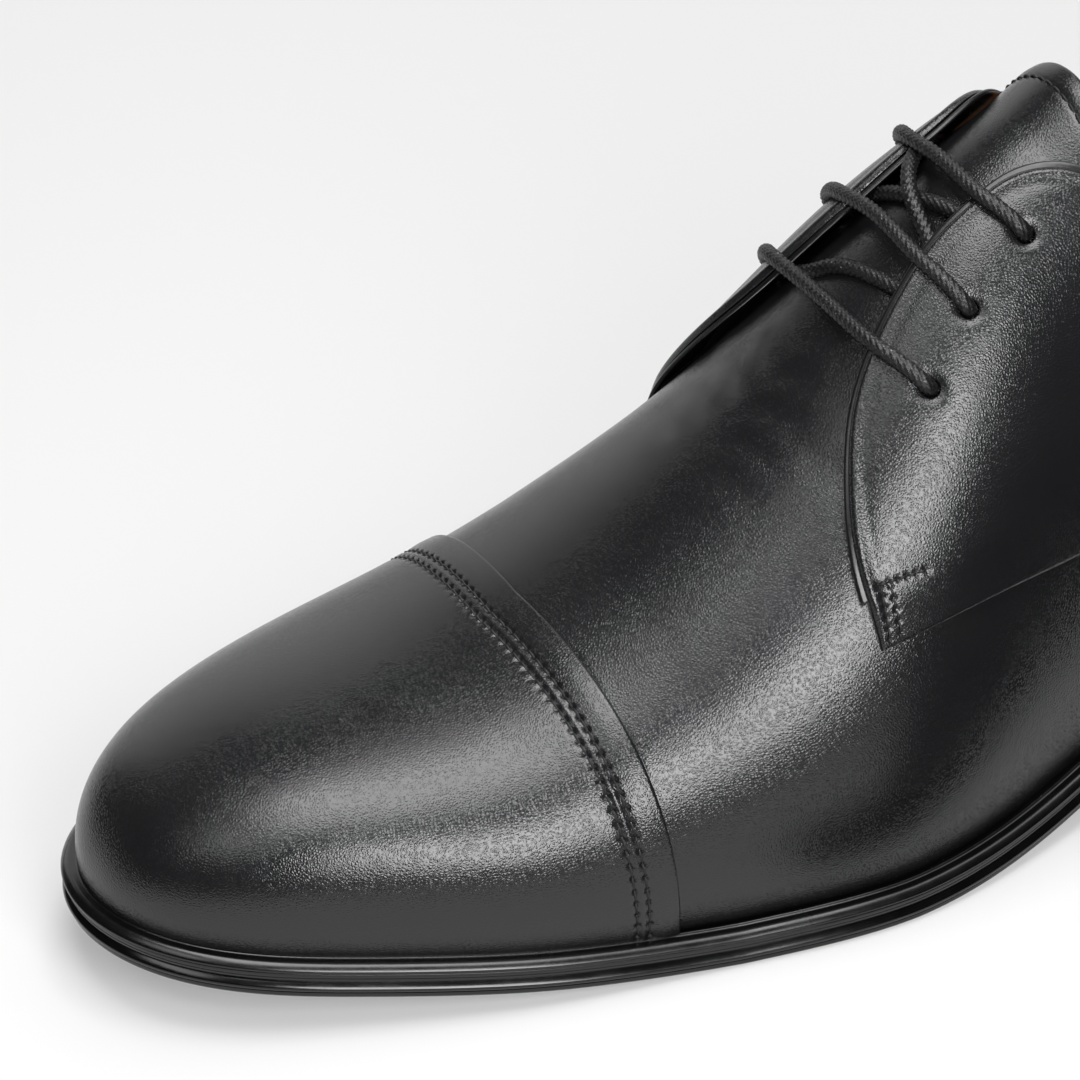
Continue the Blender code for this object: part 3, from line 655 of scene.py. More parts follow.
def tackRow(side, corners):
    corners = np.array(corners)
    part, whole = np.linspace(0, 1, 200), np.linspace(0, 1, len(corners))
    stations, shares = np.interp(part, whole, corners[:, 0]), np.interp(part, whole, corners[:, 1])
    line = offLast(side, stations, shares, flapTop(stations, shares))
    return stitchPlaces(line, lastNormal(side, stations, shares), tack["pitchMm"] * mm)


tackRows = [(side, tackRow(side, corners)) for side in (1, -1) for corners in tack["rows"]]


def runsAlong(knots):
    # Steps along an edge whose spacing is read between the knots, as (run, spacing)
    places, spacings = zip(*knots)
    runs = [0.0]
    while runs[-1] < places[-1]:
        runs.append(runs[-1] + float(np.interp(runs[-1], places, spacings)))
    return np.array(runs) * places[-1] / runs[-1]


def quarterGrid():
    size = quarterCells
    flapRun, fanRun = (
        float(np.interp(station, edgeStation(edgeRuns), edgeRuns))
        for station in (size["flapFrom"], quarterShape["fanFrom"]))
    runs = runsAlong([
        (start + run * mm, spacing * mm)
        for start, knots in ((0, size["collar"]), (flapRun, size["flap"]), (edgeLength, size["end"]))
        for run, spacing in knots])
    topStation, topShare = edgeStation(runs), edgeShare(runs)
    endStation = quarterShape["bottom"][-1][0]
    fanned = quarterShape["fanFrom"] + (endStation - quarterShape["fanFrom"]) * (
        (runs - fanRun) / (edgeLength - fanRun))
    lowStation = np.where(runs < fanRun, topStation, fanned)
    lowShare = quarterBottom(lowStation)
    span = np.linalg.norm(
        lastSurface(1, topStation, topShare) - lastSurface(1, lowStation, lowShare), axis=-1)
    topSteps, lowSteps = np.array(size["top"]) * mm, np.array(size["low"]) * mm
    topZone = np.minimum(topSteps[-1], size["topMost"] * span)
    lowZone = np.minimum(lowSteps[-1], size["lowMost"] * span)
    top = topSteps[:, None] / topSteps[-1] * topZone / span
    low = 1 - lowSteps[::-1, None] / lowSteps[-1] * lowZone / span
    middle = top[-1] + (low[0] - top[-1]) * np.linspace(0, 1, size["middle"])[1:-1, None]
    down = np.concatenate([top, middle, low])
    station = topStation + (lowStation - topStation) * down
    share = topShare + (lowShare - topShare) * down
    return station, share


def punchHoles(side, station, share):
    # Around each eyelet the grid's squares are drawn out into rings, and what the first holds goes
    rows, columns = station.shape
    missing = np.zeros((rows - 1, columns - 1), bool)
    first, last = eyelets["ringCells"]
    points = lastSurface(side, station, share)
    for spotSide, spotStation, spotShare in eyeletSpots:
        if spotSide != side:
            continue
        centre = lastSurface(side, spotStation, spotShare)
        alongStation = (lastSurface(side, spotStation + nudge, spotShare) - centre) / nudge
        alongShare = (lastSurface(side, spotStation, spotShare + nudge) - centre) / nudge
        across = alongStation / np.linalg.norm(alongStation)
        upward = alongShare - across * np.dot(across, alongShare)
        upward /= np.linalg.norm(upward)
        flat = np.stack([(points - centre) @ across, (points - centre) @ upward], -1)
        distance = np.linalg.norm(points - centre, axis=-1)
        row, column = np.unravel_index(np.argmin(distance), distance.shape)
        rowSteps = np.abs(np.arange(rows) - row)[:, None]
        columnSteps = np.abs(np.arange(columns) - column)[None, :]
        level = np.maximum(rowSteps, columnSteps)
        aim = flat - flat[row, column]
        aim /= np.maximum(np.linalg.norm(aim, axis=-1, keepdims=True), 1e-9)
        cell = np.linalg.norm(flat[row, column + 1] - flat[row, column - 1]) / 2
        ring = eyelets["radius"] + (level - first) * cell - (level > first) * (cell - eyelets["lip"])
        near = (level <= last) & (level >= first)
        weight = (1 - smoothStep(first, last, level.astype(float)))[..., None]
        moved = weight * aim * ring[..., None] + (1 - weight) * flat
        turn = np.array([
            [np.dot(alongStation, across), np.dot(alongShare, across)],
            [np.dot(alongStation, upward), np.dot(alongShare, upward)]])
        step = moved @ np.linalg.inv(turn).T
        station[near] = spotStation + step[near][:, 0]
        share[near] = spotShare + step[near][:, 1]
        middleRow = np.abs(np.arange(rows - 1) + 0.5 - row)[:, None]
        middleColumn = np.abs(np.arange(columns - 1) + 0.5 - column)[None, :]
        missing |= np.maximum(middleRow, middleColumn) < first
    return missing


def edgeLineOf(side, station, share):
    border = [(station[0], share[0]), (station[-1], share[-1]), (station[:, -1], share[:, -1])]
    points = []
    for stations, shares in border:
        fine = np.linspace(0, len(stations) - 1, 4 * len(stations))
        whole = np.arange(len(stations))
        points.append(lastSurface(side, np.interp(fine, whole, stations), np.interp(fine, whole, shares)))
    return np.concatenate(points)


def eyeletDent(points, side):
    dent = np.zeros(points.shape[:-1])
    for spotSide, spotStation, spotShare in eyeletSpots:
        if spotSide == side:
            distance = np.linalg.norm(points - lastSurface(side, spotStation, spotShare), axis=-1)
            past = np.clip((distance - eyelets["radius"]) / eyelets["dentReach"], 0, 1)
            dent += eyelets["dent"] * (1 - past) ** 2.5 * (past < 1)
    return dent


def quarterFace(side, station, share, points, border):
    shape = quarterShape
    distance = distanceTo(points, border)
    fromBottom = (share - quarterBottom(station)) * shoeLast["instepHeight"]
    skived = (shape["step"] - shape["seamStep"]) * (1 - smoothStep(0, shape["skived"], fromBottom))
    free = freeness(station, share)
    radius = shape["collarRadius"] + (shape["edgeRadius"] - shape["collarRadius"]) * smoothStep(
        *shape["collarStations"], station)
    radius = radius + (shape["seamRadius"] - radius) * (1 - smoothStep(0, shape["seamReach"], fromBottom))
    lip, groove = (
        deep * bell(distance, middle, width)
        for deep, middle, width in (shape["lip"], shape["lipGroove"]))
    onFlap = smoothStep(*shape["lipStations"], station) * smoothStep(*shape["lipHeights"], fromBottom)
    face = flapTop(station, share) - skived + onFlap * (lip - groove)
    seam = bell(points[..., 0], float(curveOf["swing"](heelCentre)), shape["backSeamWidth"])
    back = shape["backSeamDepth"] * seam * (station < shape["backSeamEnd"])
    outer = face - roundDrop(distance, radius) - back - eyeletDent(points, side)
    corner = (station > tack["corner"][0]) & (share < tack["corner"][1])
    holes = np.concatenate([row[2] for rowSide, row in tackRows if rowSide == side])
    level = offLast(side, station[corner], share[corner], face[corner])
    outer[corner] -= tack["pit"] * bell(distanceTo(level, holes), 0, tack["pitRadius"])
    thin = face - shape["flapWall"]
    inner = -shape["wall"] + (thin + shape["wall"]) * free
    lift = roundDrop(distance, np.minimum(radius, shape["innerRadius"])) * shape["innerRound"]
    return outer, np.minimum(inner + lift, outer - shape["thinnest"]), free


def makeQuarters():
    station, share = quarterGrid()
    halves = []
    for side in (1, -1):
        sideStation, sideShare = station.copy(), share.copy()
        border = edgeLineOf(side, sideStation, sideShare)
        missing = punchHoles(side, sideStation, sideShare)
        points = lastSurface(side, sideStation, sideShare)
        outer, inner, free = quarterFace(side, sideStation, sideShare, points, border)
        # behind the vamp the edge is tucked down to the welt
        drop = quarterShape["tuck"] * (1 - smoothStep(*quarterShape["tuckStations"], sideStation[-1]))
        walls = [offLast(side, sideStation, sideShare, level) for level in (outer, inner)]
        for wall in walls:
            wall[-1, :, 2] -= drop
        halves.append((*walls, free, missing))
    # one grid: front edge of the lateral side, round the heel, to the medial front edge
    pairs = [(lateral[:, ::-1], medial) for lateral, medial in zip(*halves)]
    outer, inner, free = (np.concatenate(pair, axis=1) for pair in pairs[:3])
    gap = np.zeros((len(station) - 1, 1), bool)
    missing = np.concatenate([pairs[3][0], gap, pairs[3][1]], axis=1)
    points, faces, places = closedWall(outer, inner, gridFaces(*free.shape, missing))
    loose = free[:-1, :-1][~missing][places]
    quarters = makePiece("quarters", points, faces, [calf, lining], innerLooks(faces, places, loose < 0.5))
    finishPiece(quarters, "upper_leather", "upper")
    return quarters


quarters = makeQuarters()
print("quarters made:", len(quarters.data.polygons), "faces")


# Backing of the facings: a second layer whose turned edge shows past the quarter's own
facingShape = {
    "past": 0.0011, "wall": 0.0009, "from": 0.405, "to": 0.452, "radius": 0.00045, "columns": 260,
    "rowsMm": (0, 0.05, 0.14, 0.26, 0.42, 0.65, 1.0, 1.5, 2.2, 3, 4, 5, 6, 7, 8, 9.2),
}


def edgeFrame(runs):
    # Points on the quarter's edge with the step in (station, share) for a metre outwards
    station, share = edgeStation(runs), edgeShare(runs)
    small = 0.1 * nudge
    perStation, perShare = (
        np.linalg.norm(
            lastSurface(1, station + a, share + b) - lastSurface(1, station - a, share - b), axis=-1)
        / 2 / nudge for a, b in ((nudge, 0), (0, nudge)))
    along = np.stack([
        (edgeStation(runs + small) - edgeStation(runs - small)) * perStation,
        (edgeShare(runs + small) - edgeShare(runs - small)) * perShare], -1)
    along /= np.linalg.norm(along, axis=-1, keepdims=True)
    return station, share, -along[:, 1] / perStation, along[:, 0] / perShare


def makeFacings():
    size = facingShape
    start = float(np.interp(size["from"], edgeStation(edgeRuns), edgeRuns))
    stop = float(edgeRuns[edgeShare(edgeRuns) > size["to"]][-1])
    runs = np.linspace(start, stop, size["columns"])
    edgeAt, heightAt, outStation, outShare = edgeFrame(runs)
    distances = (size["past"] - np.array(size["rowsMm"]) * mm)[:, None]
    station, share = edgeAt + distances * outStation, heightAt + distances * outShare
    for side, name in ((1, "facing_lateral"), (-1, "facing_medial")):
        points = lastSurface(side, station, share)
        border = np.concatenate([points[0], points[:4, 0], points[:4, -1]])
        drop = roundDrop(distanceTo(points, border), size["radius"])
        level = flapTop(station, np.minimum(share, edgeShare(runs))) - quarterShape["flapWall"]
        points, faces, _ = closedWall(
            offLast(side, station, share, level - drop),
            offLast(side, station, share, level - size["wall"] + drop), gridFaces(*station.shape))
        finishPiece(makePiece(name, points, faces, [foldBlack]), "upper_leather")


makeFacings()
print("facings made")


# Vamp: lies on the last, runs under the cap and the quarters, and goes on as the tongue
vampShape = {
    "wall": 0.00185, "back": 0.200, "capUnder": 0.752, "capSink": 0.0004,
    "throatFront": 0.527, "throatEdge": 0.560, "tongueEdge": 0.600,
    "rim": 0.400, "rimRounding": 0.045, "rimEdge": 0.760, "press": 0.0010,
    "rimStitch": 0.0036, "tuck": 0.0004, "pitchMm": 2.4, "collarMargin": 0.05,
    "tipSink": 0.0005, "tipStations": (0.745, 0.775),
    "pressShares": (0.58, 0.66), "pressStations": (0.56, 0.50), "pressRim": (0.405, 0.44),
    "binding": (0.00025, 0.0019, 0.0013), "rimGroove": (0.00020, 0.00035), "rimRadius": 0.0007,
    "cells": {"side": 46, "tongue": 32, "tip": 22, "front": 72, "back": 100},
}
capShape = {
    "line": 0.7305, "lean": 0.0120, "step": 0.0010, "edgeRadius": 0.00055,
    "rows": (0.0050, 0.0070), "groove": 0.00010, "grooveWidth": 0.00045, "puff": 0.00016,
    "ridge": (0.00010, 0.0004), "pit": 0.00048, "pitRadius": 0.00044, "pitchMm": 2.35, "rowFrom": 0.012,
    "leanTo": 0.735,
    # its grid: depths in from the edge in mm, coarse, fine at the seam and coarse again
    "edgeMm": (0, 0.06, 0.15, 0.27, 0.42, 0.6, 0.85, 1.2, 1.7, 2.3, 3.0, 3.6), "seamMm": (4.1, 7.95, 0.18),
    "pastMm": (8.4, 9.0), "cells": {"side": 300, "wide": 8, "toe": 76},
}
# Creases of the flexed vamp, as (station, share, half length in share, slant, depth, width)
creases = (
    (0.585, 0.93, 0.10, 0.030, 0.00026, 0.0016),
    (0.600, 0.90, 0.13, 0.035, 0.00032, 0.0019),
    (0.617, 0.88, 0.12, 0.025, 0.00024, 0.0017),
    (0.633, 0.84, 0.12, 0.020, 0.00018, 0.0018),
    (0.595, 0.70, 0.10, 0.060, 0.00018, 0.0020),
)


def creaseDepth(station, share):
    depth = np.zeros(np.broadcast(station, share).shape)
    for middle, height, reach, slant, deep, width in creases:
        along = (share - height) / reach
        line = middle + slant * (share - height) + 0.002 * np.sin(along * 4.0)
        across = (station - line) * lastLength / width
        fade = np.clip(1 - along ** 2, 0, 1) ** 2
        # a trough between two low swells
        depth += deep * fade * (bell(across, 0, 1) - 0.45 * bell(np.abs(across), 1.9, 1))
    return depth


def rimStation(share):
    shape = vampShape
    x = np.clip((share - shape["tongueEdge"]) / (shape["rimEdge"] - shape["tongueEdge"]), 0, 1)
    return shape["rim"] + shape["rimRounding"] * (1 - np.sqrt(1 - (1 - x) ** 2))


def pastCapLine(station, share):
    return (station - capShape["line"] - capShape["lean"] * share) * lastLength


def tuckedWall(side, station, share, outer, inner, drawnIn):
    # Both faces of a wall over the ridge, with its lowest rows drawn in and down behind the welt
    outerPoints = offLast(side, station, share, outer)
    innerPoints = offLast(side, station, share, inner)
    for row in (0, -1):
        outerPoints[row] = offLast(side[row], station[row], share[row], outer[row] - drawnIn)
        outerPoints[row, :, 2] -= vampShape["tuck"]
        innerPoints[row, :, 2] = outerPoints[row, :, 2]
    return outerPoints, innerPoints


def makeVamp():
    shape, cells, slack = vampShape, vampShape["cells"], 1e-9
    sideShares = np.linspace(0, shape["throatEdge"], cells["side"])
    tongueShares = np.linspace(shape["tongueEdge"], 1, cells["tongue"])
    shares, sides = overRidge(np.concatenate([sideShares, tongueShares]))
    turn = np.sin(np.linspace(math.pi / 2, 0, cells["tip"]))[:-1]
    tip = shape["capUnder"] + (1 - shape["capUnder"]) * turn
    front = np.concatenate([tip, np.linspace(shape["capUnder"], shape["throatFront"], cells["front"])])
    # the rows behind the throat are closer at both ends
    even = np.linspace(0, 1, cells["back"])
    back = (1 - np.cos(np.linspace(0, math.pi, cells["back"]))) / 2 * 0.35 + even * 0.65
    columns = len(front) + len(back) - 1
    share = shares[:, None] * np.ones(columns)
    side = sides[:, None] * np.ones(columns)
    station = np.empty_like(share)
    station[:, :len(front)] = front
    rim = np.where(shares >= shape["tongueEdge"] - slack, rimStation(shares), shape["back"])
    station[:, len(front):] = shape["throatFront"] + (rim - shape["throatFront"])[:, None] * back[1:]
    missing = np.zeros((len(shares) - 1, columns - 1), bool)
    behind = np.arange(columns - 1) >= len(front) - 1
    for i, pair in enumerate(zip(shares[:-1], shares[1:])):
        if min(pair) <= shape["throatEdge"] + slack and max(pair) >= shape["tongueEdge"] - slack:
            missing[i, behind] = True
        if pair[0] < shape["throatEdge"] + slack:
            limit = collarShare(station[i, :-1]) - shape["collarMargin"]
            missing[i, behind & (max(pair) > limit)] = True
    # under the cap the vamp sinks in two steps
    sunk = shape["capSink"] * smoothStep(0.0, 0.6 * mm, pastCapLine(station, share) - 0.5 * mm)
    sunk = sunk + shape["tipSink"] * smoothStep(*shape["tipStations"], station)
    press = shape["press"] * smoothStep(*shape["pressShares"], share)
    press = press * smoothStep(*shape["pressStations"], station) * smoothStep(*shape["pressRim"], station)
    rimDistance = (station - rimStation(share)) * lastLength
    tongue = share >= shape["tongueEdge"] - slack
    rounding = np.where(tongue, roundDrop(np.clip(rimDistance, 0, None), shape["rimRadius"]), 0.0)
    raised, middle, width = shape["binding"]
    sunkIn, narrow = shape["rimGroove"]
    bound = raised * bell(rimDistance, middle, width) - sunkIn * bell(rimDistance, shape["rimStitch"], narrow)
    binding = np.where(tongue & (station < 0.5), bound, 0.0)
    outer = -sunk - press - rounding + binding - creaseDepth(station, share)
    inner = -shape["wall"] - press + np.where(tongue, rounding * 0.5, 0.0)
    walls = tuckedWall(side, station, share, outer, inner, 0.3 * mm)
    points, faces, places = closedWall(*walls, gridFaces(*share.shape, missing))
    looks = innerLooks(faces, places, 1)
    vamp = makePiece("vamp_and_tongue", points, faces, [calf, lining], looks)
    finishPiece(vamp, "upper_leather", "upper", "tongue")
    return vamp


vamp = makeVamp()
print("vamp made:", len(vamp.data.polygons), "faces")


def seamPath(stationOf, shares, sides, offset, pitch):
    station = stationOf(shares)
    line = offLast(sides, station, shares, offset)
    return stitchPlaces(line, lastNormal(sides, station, shares), pitch)


def capRow(distance):
    shape = capShape
    stationOf = lambda share: shape["line"] + shape["lean"] * share + distance / lastLength
    return seamPath(
        stationOf, *overRidge(np.linspace(shape["rowFrom"], 1, 500)), shape["step"], shape["pitchMm"] * mm)


capRows = [capRow(distance) for distance in capShape["rows"]]


def makeCap():
    shape, cells = capShape, capShape["cells"]
    turn = np.sin(np.linspace(0, math.pi / 2, cells["side"]))
    shares, sides = overRidge(turn * 0.25 + np.linspace(0, 1, cells["side"]) * 0.75)
    band = np.array([*shape["edgeMm"], *np.arange(*shape["seamMm"]), *shape["pastMm"]]) * mm
    edge = shape["line"] + band / lastLength
    wide = np.linspace(edge[-1], toeStart, cells["wide"])[1:-1]
    toe = toeStart + (1 - toeStart) * np.sin(np.linspace(0, math.pi / 2, cells["toe"]))
    base = np.concatenate([edge, wide, toe])
    share = shares[:, None] * np.ones(len(base))
    side = sides[:, None] * np.ones(len(base))
    station = base + shape["lean"] * share * (1 - smoothStep(shape["leanTo"], toeStart, base))
    distance = pastCapLine(station, share)
    first, second = shape["rows"]
    channel = shape["groove"] * sum(bell(distance, row, shape["grooveWidth"]) for row in (first, second))
    puff = shape["puff"] * bell(distance, 0.5 * first, 0.30 * first)
    between = shape["ridge"][0] * bell(distance, (first + second) / 2, shape["ridge"][1])
    outer = shape["step"] + puff + between - channel - roundDrop(distance, shape["edgeRadius"])
    surface = offLast(side, station, share, shape["step"])
    near = (distance > first - 1 * mm) & (distance < second + 1 * mm)
    holes = np.concatenate([row[2] for row in capRows])
    outer[near] -= shape["pit"] * bell(distanceTo(surface[near], holes), 0, shape["pitRadius"])
    inner = np.minimum(-0.05 * mm, outer - 0.3 * mm)
    walls = tuckedWall(side, station, share, outer, inner, 0.4 * mm)
    points, faces, _ = closedWall(*walls, gridFaces(*share.shape), lined=False)
    cap = makePiece("toe_cap", points, faces, [calf])
    finishPiece(cap, "upper_leather", "upper")
    return cap


toeCap = makeCap()
print("toe cap made:", len(toeCap.data.polygons), "faces")


# Stitches: arched lengths of thread, laid by Geometry Nodes on the points of a line
def stitchTree():
    tree = bpy.data.node_groups.new("stitch_row", "GeometryNodeTree")
    made = tree.interface
    made.new_socket("Geometry", in_out="INPUT", socket_type="NodeSocketGeometry")
    for name in ("Length", "Thread", "Rise", "Sink"):
        made.new_socket(name, in_out="INPUT", socket_type="NodeSocketFloat")
    made.new_socket("Material", in_out="INPUT", socket_type="NodeSocketMaterial")
    made.new_socket("Geometry", in_out="OUTPUT", socket_type="NodeSocketGeometry")
    given = addNode(tree, "NodeGroupInput").outputs
    half, back, down, radius = (
        addNode(tree, "ShaderNodeMath", {"operation": "MULTIPLY"}, {0: given[name], 1: times}).outputs[0]
        for name, times in (("Length", 0.5), ("Length", -0.5), ("Sink", -1.0), ("Thread", 0.5)))
    start = addNode(tree, "ShaderNodeCombineXYZ", None, {"X": back, "Z": down})
    end = addNode(tree, "ShaderNodeCombineXYZ", None, {"X": half, "Z": down})
    lift = addNode(tree, "ShaderNodeMath", {"operation": "MULTIPLY_ADD"}, {
        0: given["Rise"], 1: 2.0, 2: given["Sink"]})
    top = addNode(tree, "ShaderNodeCombineXYZ", None, {"Z": lift.outputs[0]})
    arch = addNode(tree, "GeometryNodeCurveQuadraticBezier", None, {
        "Resolution": 8, "Start": start.outputs[0], "Middle": top.outputs[0], "End": end.outputs[0]})
    ring = addNode(tree, "GeometryNodeCurvePrimitiveCircle", None, {"Resolution": 8, "Radius": radius})
    thread = addNode(tree, "GeometryNodeCurveToMesh", None, {
        "Curve": arch.outputs[0], "Profile Curve": ring.outputs[0], "Fill Caps": True})
    line = addNode(tree, "GeometryNodeMeshToCurve", None, {"Mesh": given["Geometry"]})
    normal = addNode(tree, "GeometryNodeInputNamedAttribute", {"data_type": "FLOAT_VECTOR"}, {
        "Name": "surfaceNormal"})
    tangent = addNode(tree, "GeometryNodeInputTangent")
    turned = addNode(tree, "FunctionNodeAlignRotationToVector", {"axis": "Z"}, {
        "Vector": normal.outputs["Attribute"]})
    aimed = addNode(tree, "FunctionNodeAlignRotationToVector", {"axis": "X", "pivot_axis": "Z"}, {
        "Rotation": turned.outputs[0], "Vector": tangent.outputs[0]})
    laid = addNode(tree, "GeometryNodeInstanceOnPoints", None, {
        "Points": line.outputs[0], "Instance": thread.outputs[0], "Rotation": aimed.outputs[0]})
    real = addNode(tree, "GeometryNodeRealizeInstances", None, {0: laid.outputs[0]})
    smooth = addNode(tree, "GeometryNodeSetShadeSmooth", None, {0: real.outputs[0]})
    worn = addNode(tree, "GeometryNodeSetMaterial", None, {
        0: smooth.outputs[0], "Material": given["Material"]})
    addNode(tree, "NodeGroupOutput", None, {0: worn.outputs[0]})
    return tree


stitches = stitchTree()


def sewRow(name, middles, normals, sunk, settings):
    mesh = bpy.data.meshes.new(name + "_line")
    placed = middles - normals * sunk - lastOrigin
    mesh.from_pydata(placed.tolist(), [(k, k + 1) for k in range(len(placed) - 1)], [])
    kept = mesh.attributes.new("surfaceNormal", "FLOAT_VECTOR", "POINT")
    kept.data.foreach_set("vector", np.asarray(normals, np.float32).ravel())
    line = linkObject(name + "_line", mesh)
    modifier = line.modifiers.new("stitches", "NODES")
    modifier.node_group = stitches
    values = {"Material": threadBlack, **settings}
    for item in stitches.interface.items_tree:
        if item.in_out == "INPUT" and item.name in values:
            modifier[item.identifier] = values[item.name]
    graph = bpy.context.evaluated_depsgraph_get()
    sewn = bpy.data.meshes.new_from_object(line.evaluated_get(graph))
    bpy.data.objects.remove(line, do_unlink=True)
    sewn.name = name
    finishPiece(linkObject(name, sewn), "upper_leather")


capThread = {"Length": 1.9 * mm, "Thread": 0.38 * mm, "Rise": 0.12 * mm, "Sink": 0.36 * mm}
for number, (middles, normals, _) in enumerate(capRows, 1):
    sewRow("cap_stitches_%d" % number, middles, normals, 0.16 * mm, capThread)


def tongueRow():
    stationOf = lambda share: rimStation(np.clip(share + 0.02, 0, 1)) + vampShape["rimStitch"] / lastLength
    return seamPath(
        stationOf, *overRidge(np.linspace(0.66, 1, 200)), -0.1 * mm, vampShape["pitchMm"] * mm)


for number, (_, (middles, normals, _)) in enumerate(tackRows, 1):
    sewRow("tack_stitches_%d" % number, middles, normals, tack["sunk"], tack["thread"])
middles, normals, _ = tongueRow()
sewRow("tongue_stitches", middles, normals, 0.0, {**capThread, "Rise": 0.16 * mm})
print("stitches sewn")


# Laces: one waxed round braid through all six eyelets, its ends hidden under the far top one
laceShape = {
    "radius": 0.00120, "braid": 0.00014, "carriers": 16, "pitchMm": 10.5, "stepMm": 0.24, "around": 40,
    "under": 0.0031, "over": 0.0010, "cuts": 4,
    # Where each bar crosses the flaps' edges: it hangs a little towards the toe
    "bars": ((0.5490, 0.787), (0.5130, 0.837), (0.4760, 0.839)), "bows": (0.0006, 0.0020, 0.0012),
}
# Crossings over the tongue, as (side, station, share, height over the last in mm)
strands = {
    "farTopToNearLow": (
        (-1, 0.4560, 0.720, 0.4), (-1, 0.4720, 0.830, 1.4), (-1, 0.4890, 0.935, 2.8),
        (1, 0.4985, 0.985, 2.7), (1, 0.5025, 0.925, 1.3), (1, 0.5050, 0.855, 0.4), (1, 0.5180, 0.740, 0.4)),
    "farLowToNearMiddle": (
        (-1, 0.5460, 0.720, 0.4), (-1, 0.5475, 0.860, 0.4), (-1, 0.5395, 0.940, 0.7),
        (1, 0.5350, 0.975, 0.5), (1, 0.5315, 0.900, 0.3), (1, 0.5265, 0.830, 0.3), (1, 0.5150, 0.750, 0.4)),
    "farMiddleToNearTop": (
        (-1, 0.5035, 0.760, 0.4), (-1, 0.5000, 0.900, 0.4), (1, 0.4960, 0.985, 0.3),
        (1, 0.4921, 0.930, 0.3), (1, 0.4870, 0.860, 0.3), (1, 0.4760, 0.780, 0.4)),
}


def facePoint(side, station, share, offset):
    return offLast(side, np.array(station), np.array(share), flapTop(station, share) + offset)


def laceRoute():
    shape = laceShape
    above = shape["radius"] + 0.1 * mm

    def endOf(spot, lip):
        # From inside an eyelet out through it and along the flap to its edge
        side, station, share = spot
        place = facePoint(side, station, share, 0.0)
        up = lastNormal(side, np.array(station), np.array(share))
        half = ((station + lip[0]) / 2, (share + lip[1]) / 2)
        return [
            place - up * shape["under"], place + up * shape["over"],
            facePoint(side, *half, above), facePoint(side, *lip, above)]

    def bar(k):
        near = endOf(eyeletSpots[2 * k], shape["bars"][k])
        far = endOf(eyeletSpots[2 * k + 1], shape["bars"][k])
        middle = (near[-1] + far[-1]) / 2 + np.array([0, 0, shape["bows"][k]])
        return [*near, middle, *far[::-1]]

    def strand(name):
        return [
            offLast(side, np.array(station), np.array(share), height * mm)
            for side, station, share, height in strands[name]]

    route = [
        *strand("farTopToNearLow"), *bar(0), *strand("farLowToNearMiddle"), *bar(1),
        *strand("farMiddleToNearTop"), *bar(2)]
    route = np.array([np.asarray(point, float).reshape(3) for point in route])
    for _ in range(shape["cuts"]):
        early = route[:-1] * 0.75 + route[1:] * 0.25
        late = route[:-1] * 0.25 + route[1:] * 0.75
        inner = np.stack([early, late], 1).reshape(-1, 3)
        route = np.concatenate([route[:1], inner[1:-1], route[-1:]])
    return route


def braidedTube(route):
    size, around = laceShape, laceShape["around"]
    run = runOf(route)
    count = int(run[-1] / (size["stepMm"] * mm))
    at = np.linspace(0, run[-1], count)
    path = readAlong(route, run, at)
    tangent = np.gradient(path, axis=0)
    tangent /= np.linalg.norm(tangent, axis=1, keepdims=True)
    across = np.empty_like(path)
    across[0] = np.cross(tangent[0], (0.0, 0.0, 1.0))
    for k in range(count):
        previous = across[k - 1] if k else across[0]
        level = previous - tangent[k] * np.dot(previous, tangent[k])
        across[k] = level / np.linalg.norm(level)
    beside = np.cross(tangent, across)
    angle = np.linspace(0, 2 * math.pi, around, endpoint=False)
    u = (at / (size["pitchMm"] * mm))[:, None]
    v = (angle / (2 * math.pi))[None, :]
    first = size["carriers"] / 2 * (u + v)
    second = size["carriers"] / 2 * (u - v)
    pillow = np.abs(np.sin(math.pi * first) * np.sin(math.pi * second)) ** 0.6
    radius = size["radius"] - size["braid"] + 2 * size["braid"] * pillow
    toEnd = np.minimum(np.arange(count), np.arange(count)[::-1]) * size["stepMm"] * mm
    radius = radius * np.sqrt(np.clip(1 - (1 - np.clip(toEnd / size["radius"], 0, 1)) ** 2, 0.02, 1))[:, None]
    points = (path[:, None] + across[:, None] * (np.cos(angle)[:, None] * radius[..., None])
              + beside[:, None] * (np.sin(angle)[:, None] * radius[..., None])).reshape(-1, 3)
    ends = [tuple(range(around)), tuple((count - 1) * around + j for j in reversed(range(around)))]
    return points, ringFaces(count, around) + ends, run[-1]


def makeLace():
    points, faces, length = braidedTube(laceRoute())
    lace = makePiece("lace", points, faces, [cordBlack])
    finishPiece(lace, "lace_cord", "laces")
    print("lace made: %.0f mm of cord" % (length / mm))
    return lace


lace = makeLace()


